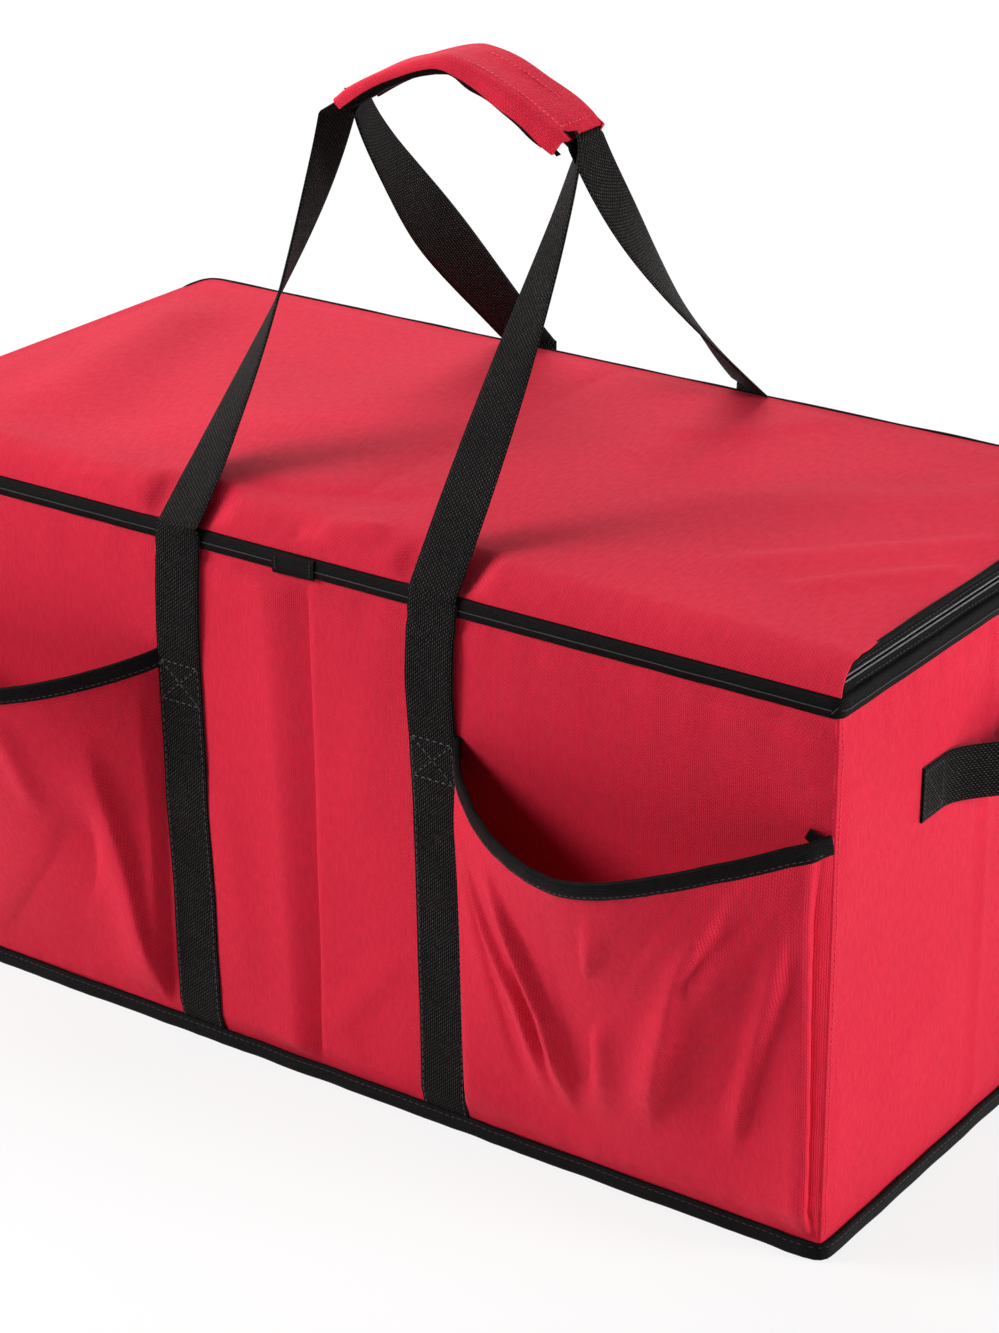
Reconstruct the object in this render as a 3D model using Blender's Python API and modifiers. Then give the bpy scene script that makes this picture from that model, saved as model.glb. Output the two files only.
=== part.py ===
"""Zipped fabric storage tote with two carrying loops, two front pockets and two end handles.

Metres, +Z up. The origin is the centre of the underside. +X runs to the right along the
front, and the front with its two pockets faces -Y.
"""

import math

import bmesh
import bpy
from mathutils import Vector

# The sewn box
BODY_WIDTH = 0.630
BODY_DEPTH = 0.305
BODY_HEIGHT = 0.305
CLOTH = 0.0010
BOARD = 0.0020
LINING = 0.0008
GAP = 0.0003
FOLD_WIDTH = 0.004
BASE_BOARD = 0.0030
BASE_BOARD_CLEARANCE = 0.0030
BASE_BOARD_CORNER = 0.008

# The bound seams at the floor and at the rim
FLOOR_BINDING_HEIGHT = 0.010
FLOOR_BINDING_THICKNESS = 0.0030
RIM_BINDING_HEIGHT = 0.0105
RIM_BINDING_THICKNESS = 0.0012
RIM_BINDING_TOP = 0.0017

# The zipper round the left end, the back and the right end
TAPE_THICKNESS = 0.0008
LOWER_TAPE_HEIGHT = 0.0051
UPPER_TAPE_HEIGHT = 0.0050
TAPE_INSET = 0.0012
CHAIN_HEIGHT = 0.0015
CHAIN_THICKNESS = 0.0018
CHAIN_GAP = 0.0012
ZIP_START = 0.0040

# The two zipper sliders and their pull tabs
SLIDER_LENGTH = 0.0100
SLIDER_HEIGHT = 0.0086
SLIDER_PLATE = 0.0010
SLIDER_WEB = 0.0006
SLIDER_CLEARANCE = 0.0003
SLIDER_SPACING = 0.0180
BAIL_LENGTH = 0.0070
BAIL_STANDOFF = 0.0025
BAIL_BAR = 0.0010
PULL_WIDTH = 0.0042
PULL_LENGTH = 0.0240
PULL_THICKNESS = 0.0010
PULL_EYE_RIM = 0.0012
PULL_EYE_CLEARANCE = 0.0003

# The lid
LID_CURL = 0.018
LID_CROWN = 0.004
LID_SIDE_INSET = 0.0026
LID_BOARD_INSET = 0.0050
LID_BOARD_FRONT_INSET = 0.0220

# The webbing
WEBBING_WIDTH = 0.030
WEBBING_THICKNESS = 0.0016
STRAP_OFFSET = 0.084
BACK_STRAP_OFFSET = 0.076
SEWN_HEIGHT = 0.226
HANDLE_CLEARANCE = 0.0003
STRAP_JOG = 0.009
FRONT_RISE = 0.008
BACK_STANDOFF = 0.0062
BACK_RISE = 0.062

# The grip wrap that joins the two loops
GRIP_LENGTH = 0.143
GRIP_SIDEWAYS = 0.0075
GRIP_DEPTH = 0.038
GRIP_FORWARD = 0.0175
GRIP_END_HEIGHT = 0.506
GRIP_RISE = 0.030
GRIP_CLOTH = 0.0020
GRIP_DROP = 0.0095
GRIP_TUCK = 0.0080
GRIP_STRIP_WIDTH = 0.006
GRIP_STRIP_THICKNESS = 0.0008
LEG_BASE_REACH = 0.004
FRONT_LEFT_REACH = 0.045
FRONT_LEFT_DROP = 0.030
FRONT_RIGHT_REACH = 0.040
FRONT_RIGHT_DROP = 0.026
BACK_LEFT_REACH = 0.008
BACK_LEFT_DROP = 0.026
BACK_RIGHT_REACH = 0.020
BACK_RIGHT_DROP = 0.026
LOOP_GAP = 0.0006

# The front pockets
POCKET_CLOTH = 0.0008
POCKET_HEIGHT = 0.230
POCKET_BULGE = 0.065
POCKET_DROOP = 0.025
POCKET_BINDING_HEIGHT = 0.009
POCKET_BINDING_THICKNESS = 0.0008
POCKET_BINDING_CLEARANCE = 0.0005

# The end handles
END_HANDLE_LENGTH = 0.145
END_HANDLE_HEIGHT = 0.2245
END_HANDLE_STANDOFF = 0.030
END_HANDLE_TAB = 0.022

# Shares and counts
POCKET_PEAK_SHARE = 0.49
POCKET_LEFT_ROUNDNESS = 0.70
POCKET_RIGHT_ROUNDNESS = 0.85
POCKET_FILL = 1.15
POCKET_BINDING_END_SHARE = 0.045
ARCH_ROUNDNESS = 1.5
FRONT_LEFT_TURN_SHARES = (0.0, 0.98)
FRONT_RIGHT_TURN_SHARES = (0.20, 1.0)
BACK_LEFT_TURN_SHARES = (0.35, 0.92)
BACK_RIGHT_TURN_SHARES = (0.0, 1.0)
POCKET_CELLS = (22, 8)
LID_CELLS = (14, 12)
CURL_CELLS = 5
LEG_STEPS = 20
ARCH_STEPS = 14
END_HANDLE_STEPS = 12

# Places worked out from the sizes
HALF_WIDTH = BODY_WIDTH / 2
HALF_DEPTH = BODY_DEPTH / 2
WALL_STACK = CLOTH + GAP + BOARD + GAP + LINING
WALL_FOOT = CLOTH + GAP
WALL_TOP = BODY_HEIGHT - RIM_BINDING_TOP - GAP
SEAM_TOP = FLOOR_BINDING_HEIGHT + GAP
RIM_OUT = GAP + RIM_BINDING_THICKNESS
LOWER_TAPE_FOOT = BODY_HEIGHT + GAP
LOWER_CHAIN_FOOT = LOWER_TAPE_FOOT + LOWER_TAPE_HEIGHT + GAP
CHAIN_SPLIT = LOWER_CHAIN_FOOT + CHAIN_HEIGHT + CHAIN_GAP / 2
UPPER_CHAIN_FOOT = LOWER_CHAIN_FOOT + CHAIN_HEIGHT + CHAIN_GAP
UPPER_TAPE_FOOT = UPPER_CHAIN_FOOT + CHAIN_HEIGHT + GAP
LID_FOOT = UPPER_TAPE_FOOT + UPPER_TAPE_HEIGHT + GAP
STRAP_OUT = GAP + WEBBING_THICKNESS / 2
STRAP_OUT_AT_RIM = RIM_OUT + GAP + WEBBING_THICKNESS / 2
STRAP_TOP = BODY_HEIGHT - RIM_BINDING_TOP + GAP
HINGE_OUT = STRAP_OUT_AT_RIM + WEBBING_THICKNESS / 2 + GAP
BACK_HINGE_OUT = STRAP_OUT + WEBBING_THICKNESS / 2 + GAP
GRIP_TOP_OUT = WEBBING_THICKNESS + GAP + GRIP_CLOTH / 2

RED = (0.62, 0.022, 0.040)
BLACK = (0.012, 0.012, 0.013)
ZIP_BLACK = (0.020, 0.020, 0.022)
CARD = (0.34, 0.25, 0.16)
METAL = (0.10, 0.10, 0.11)

X_AXIS = Vector((1, 0, 0))
Y_AXIS = Vector((0, 1, 0))
Z_AXIS = Vector((0, 0, 1))


def clear_scene():
    for item in list(bpy.data.objects):
        bpy.data.objects.remove(item)


def make_material(name, colour, roughness, metallic=0.0):
    made = bpy.data.materials.new(name)
    made.use_nodes = True
    shader = made.node_tree.nodes["Principled BSDF"]
    shader.inputs["Base Color"].default_value = (*colour, 1.0)
    shader.inputs["Roughness"].default_value = roughness
    shader.inputs["Metallic"].default_value = metallic
    return made


def add_object(name, mesh, material, collection):
    made = bpy.data.objects.new(name, mesh)
    collection.objects.link(made)
    mesh.materials.clear()
    mesh.materials.append(material)
    return made


def hang(name, place, pieces, carrier=None):
    """Parent pieces to an empty on their joint's axis and leave them where they are."""
    pivot = bpy.data.objects.new(name, None)
    pivot.location = place
    pieces[0].users_collection[0].objects.link(pivot)
    bpy.context.view_layer.update()
    for piece in pieces:
        piece.parent = pivot
        piece.matrix_parent_inverse = pivot.matrix_world.inverted()
    if carrier:
        pivot.parent = carrier
        pivot.matrix_parent_inverse = carrier.matrix_world.inverted()
    return pivot


def box(name, low, high, material, collection):
    """A plain sewn-in or cut piece between two corners."""
    bpy.ops.mesh.primitive_cube_add(size=1)
    cube = bpy.context.active_object
    mesh = cube.data
    bpy.data.objects.remove(cube)
    low, high = Vector(low), Vector(high)
    for vertex in mesh.vertices:
        vertex.co = [low[i] + (vertex.co[i] + 0.5) * (high[i] - low[i]) for i in range(3)]
    mesh.name = name
    return add_object(name, mesh, material, collection)


def sweep(name, stations, section, closed, material, collection):
    """Carry a section of (out, up) points along stations of (place, out, up)."""
    build = bmesh.new()
    rings = []
    for place, out, up in stations:
        rings.append([build.verts.new(place + out * a + up * b) for a, b in section])
    count = len(section)
    pairs = list(zip(rings, rings[1:]))
    if closed:
        pairs.append((rings[-1], rings[0]))
    for first, second in pairs:
        for i in range(count):
            j = (i + 1) % count
            build.faces.new((first[i], first[j], second[j], second[i]))
    if not closed:
        build.faces.new(rings[0])
        build.faces.new(rings[-1])
    bmesh.ops.recalc_face_normals(build, faces=build.faces)
    mesh = bpy.data.meshes.new(name)
    build.to_mesh(mesh)
    build.free()
    return add_object(name, mesh, material, collection)


def rectangle(out_low, out_high, up_low, up_high):
    return [(out_low, up_low), (out_high, up_low), (out_high, up_high), (out_low, up_high)]


def sheet(name, point_at, cells, thickness, material, collection):
    """A cloth surface point_at(u, v), thickened on both sides by a Solidify modifier."""
    build = bmesh.new()
    across, along = cells
    grid = []
    for j in range(along + 1):
        grid.append([build.verts.new(point_at(i / across, j / along)) for i in range(across + 1)])
    for j in range(along):
        for i in range(across):
            corners = (grid[j][i], grid[j][i + 1], grid[j + 1][i + 1], grid[j + 1][i])
            build.faces.new(corners)
    bmesh.ops.recalc_face_normals(build, faces=build.faces)
    mesh = bpy.data.meshes.new(name)
    build.to_mesh(mesh)
    build.free()
    made = add_object(name, mesh, material, collection)
    solid = made.modifiers.new("Cloth", "SOLIDIFY")
    solid.thickness = thickness
    solid.offset = 0.0
    return made


def combine(target, tool, operation):
    """Join or cut one object with another and keep the result as the target's mesh."""
    change = target.modifiers.new("Join", "BOOLEAN")
    change.operation = operation
    change.object = tool
    change.solver = "EXACT"
    bpy.context.view_layer.update()
    graph = bpy.context.evaluated_depsgraph_get()
    mesh = bpy.data.meshes.new_from_object(target.evaluated_get(graph))
    target.modifiers.clear()
    target.data = mesh
    bpy.data.objects.remove(tool)


def body_ring(height=0.0):
    """Mitred stations at the four corners of the body's outer face."""
    stations = []
    for x, y in ((1, -1), (1, 1), (-1, 1), (-1, -1)):
        place = Vector((x * HALF_WIDTH, y * HALF_DEPTH, height))
        stations.append((place, Vector((x, y, 0)), Z_AXIS))
    return stations


def zip_path(height):
    """Stations along the right end, the back and the left end, from one front corner on."""
    front = -HALF_DEPTH + ZIP_START
    corners = body_ring(height)
    start = (Vector((HALF_WIDTH, front, height)), X_AXIS, Z_AXIS)
    finish = (Vector((-HALF_WIDTH, front, height)), -X_AXIS, Z_AXIS)
    return [start, corners[1], corners[2], finish]


def make_shell(red, card, collection):
    """The outer cloth, the wall boards behind it and the lining."""
    low, high = (-HALF_WIDTH, -HALF_DEPTH, 0), (HALF_WIDTH, HALF_DEPTH, CLOTH)
    box("bottom_panel", low, high, red, collection)
    inner_y = HALF_DEPTH - CLOTH - GAP
    for name, side in (("front", -1), ("back", 1)):
        near, far = sorted((side * HALF_DEPTH, side * (HALF_DEPTH - CLOTH)))
        low, high = (-HALF_WIDTH, near, WALL_FOOT), (HALF_WIDTH, far, WALL_TOP)
        box(f"{name}_panel", low, high, red, collection)
        near, far = sorted((side * inner_y, side * (inner_y - BOARD)))
        outer_x = HALF_WIDTH - CLOTH - 2 * GAP - BOARD
        for half, turn in (("left", -1), ("right", 1)):
            first, last = sorted((turn * FOLD_WIDTH / 2, turn * outer_x))
            low, high = (first, near, WALL_FOOT), (last, far, WALL_TOP)
            box(f"{name}_board_{half}", low, high, card, collection)

    for name, side in (("left_end", -1), ("right_end", 1)):
        near, far = sorted((side * HALF_WIDTH, side * (HALF_WIDTH - CLOTH)))
        low, high = (near, -inner_y, WALL_FOOT), (far, inner_y, WALL_TOP)
        box(f"{name}_panel", low, high, red, collection)
        inner_x = HALF_WIDTH - CLOTH - GAP
        near, far = sorted((side * inner_x, side * (inner_x - BOARD)))
        for half, turn in (("front", -1), ("rear", 1)):
            first, last = sorted((turn * FOLD_WIDTH / 2, turn * inner_y))
            low, high = (near, first, WALL_FOOT), (far, last, WALL_TOP)
            box(f"{name}_board_{half}", low, high, card, collection)

    inset = WALL_STACK - LINING
    wall = rectangle(-inset - LINING, -inset, WALL_FOOT, WALL_TOP)
    sweep("wall_lining", body_ring(), wall, True, red, collection)


def make_base_board(red, collection):
    """The loose stiffening board on the floor of the tote, wrapped in cloth."""
    inset = WALL_STACK + BASE_BOARD_CLEARANCE
    low = (-HALF_WIDTH + inset, -HALF_DEPTH + inset, WALL_FOOT)
    high = (HALF_WIDTH - inset, HALF_DEPTH - inset, WALL_FOOT + BASE_BOARD)
    board = box("base_board", low, high, red, collection)
    hang("base_board_pivot", (0, 0, WALL_FOOT), [board])
    rounding = board.modifiers.new("Corners", "BEVEL")
    rounding.width = BASE_BOARD_CORNER
    rounding.segments = 3
    rounding.limit_method = "WEIGHT"
    weights = board.data.attributes.new("bevel_weight_edge", "FLOAT", "EDGE")
    for edge in board.data.edges:
        first, second = (board.data.vertices[i].co for i in edge.vertices)
        weights.data[edge.index].value = float(abs(first.z - second.z) > BASE_BOARD / 2)


def make_bindings(black, collection):
    """The bound floor seam, and the rim binding that folds over the top of the walls."""
    out = GAP + FLOOR_BINDING_THICKNESS
    floor = rectangle(GAP, out, 0, FLOOR_BINDING_HEIGHT)
    sweep("bottom_binding", body_ring(), floor, True, black, collection)

    foot = BODY_HEIGHT - RIM_BINDING_HEIGHT
    web = BODY_HEIGHT - RIM_BINDING_TOP
    inside = -WALL_STACK - GAP
    rim = [
        (GAP, foot), (RIM_OUT, foot), (RIM_OUT, BODY_HEIGHT),
        (inside - RIM_BINDING_THICKNESS, BODY_HEIGHT), (inside - RIM_BINDING_THICKNESS, foot),
        (inside, foot), (inside, web), (GAP, web),
    ]
    sweep("top_binding", body_ring(), rim, True, black, collection)


def make_zipper(black, collection):
    """Tape and chain on the body, and those above the split, which go with the lid."""
    middle = -TAPE_INSET
    tape = (middle - TAPE_THICKNESS / 2, middle + TAPE_THICKNESS / 2)
    chain = (middle - CHAIN_THICKNESS / 2, middle + CHAIN_THICKNESS / 2)
    rows = (
        ("zipper_tape_lower", tape, LOWER_TAPE_FOOT, LOWER_TAPE_HEIGHT),
        ("zipper_chain_lower", chain, LOWER_CHAIN_FOOT, CHAIN_HEIGHT),
        ("zipper_chain_upper", chain, UPPER_CHAIN_FOOT, CHAIN_HEIGHT),
        ("zipper_tape_upper", tape, UPPER_TAPE_FOOT, UPPER_TAPE_HEIGHT),
    )
    made = []
    for name, (inner, outer), foot, height in rows:
        section = rectangle(inner, outer, 0, height)
        made.append(sweep(name, zip_path(foot), section, False, black, collection))
    return made[2:]


def make_slider(side, metal, collection):
    """A two-plate slider with its bail, and the pull tab that hangs from the bail."""
    name = "left" if side < 0 else "right"
    centre = side * SLIDER_SPACING / 2
    back = HALF_DEPTH - TAPE_INSET + CHAIN_THICKNESS / 2 + SLIDER_CLEARANCE
    front = HALF_DEPTH - TAPE_INSET - CHAIN_THICKNESS / 2 - SLIDER_CLEARANCE
    foot = CHAIN_SPLIT - SLIDER_HEIGHT / 2
    head = CHAIN_SPLIT + SLIDER_HEIGHT / 2
    web_foot = CHAIN_SPLIT - SLIDER_WEB / 2
    web_head = CHAIN_SPLIT + SLIDER_WEB / 2
    section = [
        (front - SLIDER_PLATE, foot), (front, foot), (front, web_foot), (back, web_foot),
        (back, foot), (back + SLIDER_PLATE, foot), (back + SLIDER_PLATE, head), (back, head),
        (back, web_head), (front, web_head), (front, head), (front - SLIDER_PLATE, head),
    ]
    ends = (centre - SLIDER_LENGTH / 2, centre + SLIDER_LENGTH / 2)
    stations = [(X_AXIS * x, Y_AXIS, Z_AXIS) for x in ends]
    slider = sweep(f"zipper_slider_{name}", stations, section, False, metal, collection)

    face = back + SLIDER_PLATE
    bar_low = CHAIN_SPLIT - BAIL_BAR / 2
    bar_high = CHAIN_SPLIT + BAIL_BAR / 2
    post_foot = face - SLIDER_PLATE / 2
    bar_out = face + BAIL_STANDOFF + BAIL_BAR
    bail_ends = (centre - BAIL_LENGTH / 2, centre + BAIL_LENGTH / 2)
    bail = box("bail", (bail_ends[0], post_foot, bar_low), (bail_ends[1], bar_out, bar_high),
               metal, collection)
    window = box("bail_window",
                 (bail_ends[0] + BAIL_BAR, face, bar_low - BAIL_BAR),
                 (bail_ends[1] - BAIL_BAR, face + BAIL_STANDOFF, bar_high + BAIL_BAR),
                 metal, collection)
    combine(bail, window, "DIFFERENCE")
    combine(slider, bail, "UNION")
    slider.data.name = slider.name

    axis_y = face + BAIL_STANDOFF + BAIL_BAR / 2
    reach = BAIL_BAR / 2 + PULL_EYE_CLEARANCE
    tab_head = CHAIN_SPLIT + reach + PULL_EYE_RIM
    tab = box(f"zipper_pull_{name}",
              (centre - PULL_WIDTH / 2, axis_y - reach - PULL_EYE_RIM / 2, tab_head - PULL_LENGTH),
              (centre + PULL_WIDTH / 2, axis_y + reach + PULL_EYE_RIM / 2, tab_head),
              metal, collection)
    thinning = box("tab_relief",
                   (centre - PULL_WIDTH, axis_y + PULL_THICKNESS / 2, tab_head - 2 * PULL_LENGTH),
                   (centre + PULL_WIDTH, axis_y + PULL_LENGTH, CHAIN_SPLIT - reach - PULL_EYE_RIM),
                   metal, collection)
    combine(tab, thinning, "DIFFERENCE")
    thinning = box("tab_relief",
                   (centre - PULL_WIDTH, axis_y - PULL_LENGTH, tab_head - 2 * PULL_LENGTH),
                   (centre + PULL_WIDTH, axis_y - PULL_THICKNESS / 2,
                    CHAIN_SPLIT - reach - PULL_EYE_RIM),
                   metal, collection)
    combine(tab, thinning, "DIFFERENCE")
    eye = box("tab_eye",
              (centre - PULL_WIDTH, axis_y - reach, CHAIN_SPLIT - reach),
              (centre + PULL_WIDTH, axis_y + reach, CHAIN_SPLIT + reach),
              metal, collection)
    combine(tab, eye, "DIFFERENCE")
    tab.data.name = tab.name
    carriage = hang(f"slider_{name}_pivot", (centre, HALF_DEPTH, CHAIN_SPLIT), [slider])
    hang(f"pull_{name}_pivot", (centre, axis_y, CHAIN_SPLIT), [tab], carriage)


def lid_point(u, v):
    """The middle of the lid cloth: it curls up from the front rim, then runs back, crowned."""
    curl_share = CURL_CELLS / LID_CELLS[1]
    front = -HALF_DEPTH + CLOTH / 2
    foot = BODY_HEIGHT + GAP
    top = LID_FOOT + CLOTH / 2
    if v <= curl_share:
        turn = v / curl_share * math.pi / 2
        y = front + LID_CURL * (1 - math.cos(turn))
        z = foot + (top - foot) * math.sin(turn)
        half_width = HALF_WIDTH - LID_SIDE_INSET
    else:
        along = (v - curl_share) / (1 - curl_share)
        y = front + LID_CURL + along * (HALF_DEPTH - front - LID_CURL)
        crown = math.sin(math.pi * along) * math.sin(math.pi * u)
        z = top + LID_CROWN * crown
        half_width = HALF_WIDTH
    return Vector(((2 * u - 1) * half_width, y, z))


def make_lid(red, card, collection):
    """The lid cloth, its two boards either side of the centre fold, and its lining."""
    pieces = [sheet("lid_panel", lid_point, LID_CELLS, CLOTH, red, collection)]
    board_top = LID_FOOT - GAP
    front = -HALF_DEPTH + LID_BOARD_FRONT_INSET
    back = HALF_DEPTH - LID_BOARD_INSET
    outer = HALF_WIDTH - LID_BOARD_INSET
    for name, turn in (("left", -1), ("right", 1)):
        first, last = sorted((turn * FOLD_WIDTH / 2, turn * outer))
        low, high = (first, front, board_top - BOARD), (last, back, board_top)
        pieces.append(box(f"lid_board_{name}", low, high, card, collection))
    lining_top = board_top - BOARD - GAP
    low, high = (-outer, front, lining_top - LINING), (outer, back, lining_top)
    pieces.append(box("lid_lining", low, high, red, collection))
    return pieces


def smooth_step(share):
    share = min(max(share, 0.0), 1.0)
    return share * share * (3 - 2 * share)


def ribbon_stations(places, facings):
    """Stations for a webbing: each width direction is made square to the run."""
    stations = []
    last = len(places) - 1
    for i, place in enumerate(places):
        run = (places[min(i + 1, last)] - places[max(i - 1, 0)]).normalized()
        width = (facings[i] - run * facings[i].dot(run)).normalized()
        stations.append((place, width, run.cross(width)))
    return stations


def webbing(name, places, facings, material, collection):
    half_width = WEBBING_WIDTH / 2
    half = WEBBING_THICKNESS / 2
    section = rectangle(-half_width, half_width, -half, half)
    stations = ribbon_stations(places, facings)
    return sweep(name, stations, section, False, material, collection)


def make_straps(black, collection):
    """The sewn lengths of webbing that run up the front and back walls."""
    jog_foot = BODY_HEIGHT - RIM_BINDING_HEIGHT - GAP - STRAP_JOG
    jog_head = BODY_HEIGHT - RIM_BINDING_HEIGHT - GAP
    front_route = [
        (STRAP_OUT, SEAM_TOP), (STRAP_OUT, jog_foot),
        (STRAP_OUT_AT_RIM, jog_head), (STRAP_OUT_AT_RIM, STRAP_TOP),
    ]
    back_route = [(STRAP_OUT, SEAM_TOP), (STRAP_OUT, SEWN_HEIGHT)]
    walls = (
        ("front", -1, STRAP_OFFSET, front_route), ("back", 1, BACK_STRAP_OFFSET, back_route),
    )
    for wall, side, offset, route in walls:
        for name, turn in (("left", -1), ("right", 1)):
            x = turn * offset
            places = [Vector((x, side * (HALF_DEPTH + out), z)) for out, z in route]
            facings = [X_AXIS] * len(places)
            webbing(f"{wall}_strap_{name}", places, facings, black, collection)


def arch_place(share, lift):
    """A place on the grip's arch, lifted square to it; share runs 0 to 1 from left to right."""
    def middle(part):
        x = GRIP_SIDEWAYS + (part - 0.5) * GRIP_LENGTH
        rise = 1 - abs(2 * part - 1) ** ARCH_ROUNDNESS
        return Vector((x, -GRIP_FORWARD, GRIP_END_HEIGHT + GRIP_RISE * rise))
    step = 1 / ARCH_STEPS / 4
    run = (middle(share + step) - middle(share - step)).normalized()
    up = Y_AXIS.cross(run) * -1
    return middle(share) + up * lift, run, up


def bezier(start, start_arm, end_arm, end, share):
    rest = 1 - share
    return (start * rest ** 3 + start_arm * (3 * rest * rest * share)
            + end_arm * (3 * rest * share * share) + end * share ** 3)


def leg_places(base, side, lift, arm):
    """The route of one leg, from its upright base to the grip's end on the given side."""
    share = 0.0 if side < 0 else 1.0
    end, run, up = arch_place(share, lift)
    reach, drop = arm
    end_arm = end + run * (side * reach) - Z_AXIS * drop
    start_arm = base + Z_AXIS * LEG_BASE_REACH
    return [bezier(base, start_arm, end_arm, end, i / LEG_STEPS) for i in range(LEG_STEPS)]


def leg_facings(first_angle, last_angle, start_share, end_share):
    """Width directions up one leg, turning between two shares of its length."""
    facings = []
    for i in range(LEG_STEPS):
        turned = smooth_step((i / LEG_STEPS - start_share) / (end_share - start_share))
        angle = first_angle + (last_angle - first_angle) * turned
        facings.append(Vector((math.cos(angle), math.sin(angle), 0)))
    return facings


def make_loop(name, offset, lead, lift, arms, left_turn_shares, right_turn_shares, angles,
              material, collection):
    """One carrying loop: lead-in places, left leg, grip, right leg, lead-out places."""
    places, facings = [], []
    base = lead[-1]
    left_base = Vector((-offset, base[0], base[1]))
    for y, z in lead[:-1]:
        places.append(Vector((-offset, y, z)))
        facings.append(X_AXIS)
    places += leg_places(left_base, -1, lift, arms[0])
    facings += leg_facings(angles[0], math.pi / 2, *left_turn_shares)
    for i in range(ARCH_STEPS + 1):
        places.append(arch_place(i / ARCH_STEPS, lift)[0])
        facings.append(Y_AXIS)
    right_base = Vector((offset, base[0], base[1]))
    places += leg_places(right_base, 1, lift, arms[1])[::-1]
    facings += leg_facings(angles[1], math.pi / 2, *right_turn_shares)[::-1]
    for y, z in lead[:-1][::-1]:
        places.append(Vector((offset, y, z)))
        facings.append(-X_AXIS)
    if angles[0] > math.pi / 2:
        facings = [-f if i < len(lead) - 1 else f for i, f in enumerate(facings)]
    return webbing(name, places, facings, material, collection)


def make_handles(black, collection):
    """The front loop starts at the rim, the back loop where its stitching ends."""
    front_y = -(HALF_DEPTH + STRAP_OUT_AT_RIM)
    front_foot = STRAP_TOP + HANDLE_CLEARANCE
    front_lead = [(front_y, front_foot), (front_y, front_foot + FRONT_RISE)]
    arms = ((FRONT_LEFT_REACH, FRONT_LEFT_DROP), (FRONT_RIGHT_REACH, FRONT_RIGHT_DROP))
    front = make_loop("front_handle_webbing", STRAP_OFFSET, front_lead, 0.0, arms,
                      FRONT_LEFT_TURN_SHARES, FRONT_RIGHT_TURN_SHARES, (math.pi, math.pi),
                      black, collection)

    sewn_y = HALF_DEPTH + STRAP_OUT
    clear_y = HALF_DEPTH + BACK_STANDOFF + WEBBING_THICKNESS / 2
    back_lead = [
        (sewn_y, SEWN_HEIGHT + HANDLE_CLEARANCE),
        (clear_y, SEWN_HEIGHT + BACK_RISE),
    ]
    back_base = (clear_y, LID_FOOT)
    below = -WEBBING_THICKNESS - LOOP_GAP
    arms = ((BACK_LEFT_REACH, BACK_LEFT_DROP), (BACK_RIGHT_REACH, BACK_RIGHT_DROP))
    back = make_loop("back_handle_webbing", BACK_STRAP_OFFSET, back_lead + [back_base], below,
                     arms, BACK_LEFT_TURN_SHARES, BACK_RIGHT_TURN_SHARES,
                     (0.0, math.pi), black, collection)
    hang("back_handle_pivot", (0, HALF_DEPTH + BACK_HINGE_OUT, SEWN_HEIGHT), [back])
    return front


def make_grip(red, black, collection):
    """The wrap over both webbings: its sewn top and front, its rear flap, and the closures."""
    half = GRIP_DEPTH / 2
    thick = GRIP_CLOTH
    foot = -thick / 2
    head = thick / 2
    front_foot = foot - GRIP_DROP
    wrap = [
        (half - thick, foot), (half - thick, head), (-half, head), (-half, front_foot - thick),
        (-half + GRIP_TUCK, front_foot - thick), (-half + GRIP_TUCK, front_foot),
        (-half + thick, front_foot), (-half + thick, foot),
    ]
    stations = [arch_place(i / ARCH_STEPS, GRIP_TOP_OUT) for i in range(ARCH_STEPS + 1)]
    stations = [(place, Y_AXIS, up) for place, run, up in stations]
    cover = sweep("grip_wrap", stations, wrap, False, red, collection)

    hinge = half - thick + GAP
    flap = [
        (hinge, foot - GRIP_DROP), (hinge + thick, foot - GRIP_DROP),
        (hinge + thick, head), (hinge, head),
    ]
    rear = sweep("grip_flap", stations, flap, False, red, collection)

    strip_top = front_foot + GAP + GRIP_STRIP_THICKNESS
    hook = rectangle(-half + thick + GAP, -half + thick + GAP + GRIP_STRIP_WIDTH - thick,
                     front_foot + GAP, strip_top)
    hooks = sweep("grip_hook_strip", stations, hook, False, black, collection)
    loop_out = hinge - GAP
    loop_foot = foot - GRIP_DROP
    loop = rectangle(loop_out - GRIP_STRIP_THICKNESS, loop_out,
                     loop_foot, loop_foot + GRIP_STRIP_WIDTH)
    loops = sweep("grip_loop_strip", stations, loop, False, black, collection)
    fold = (0, hinge - GRIP_FORWARD, GRIP_END_HEIGHT + GRIP_TOP_OUT)
    return [cover, hooks], [rear, loops], fold


def pocket_point(side, u, v):
    """The middle of a pocket's cloth; u runs from the strap to the corner, v up the pocket.

    A mouth leaves the wall steeply at both ends and rounds over near the middle of its pocket.
    """
    start = STRAP_OFFSET + WEBBING_WIDTH / 2 + GAP + POCKET_CLOTH / 2
    finish = HALF_WIDTH - GAP - POCKET_CLOTH / 2
    across = min(max(u if side > 0 else 1 - u, 0.0), 1.0)
    if across < POCKET_PEAK_SHARE:
        climb = across / POCKET_PEAK_SHARE
        bow = math.sin(climb * math.pi / 2) ** POCKET_LEFT_ROUNDNESS
    else:
        climb = (1 - across) / (1 - POCKET_PEAK_SHARE)
        bow = math.sin(climb * math.pi / 2) ** POCKET_RIGHT_ROUNDNESS
    top = POCKET_HEIGHT - POCKET_DROOP * bow
    height = SEAM_TOP + v * (top - SEAM_TOP)
    out = GAP + POCKET_CLOTH / 2 + POCKET_BULGE * bow * v ** POCKET_FILL
    return Vector((side * (start + u * (finish - start)), -HALF_DEPTH - out, height))


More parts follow.
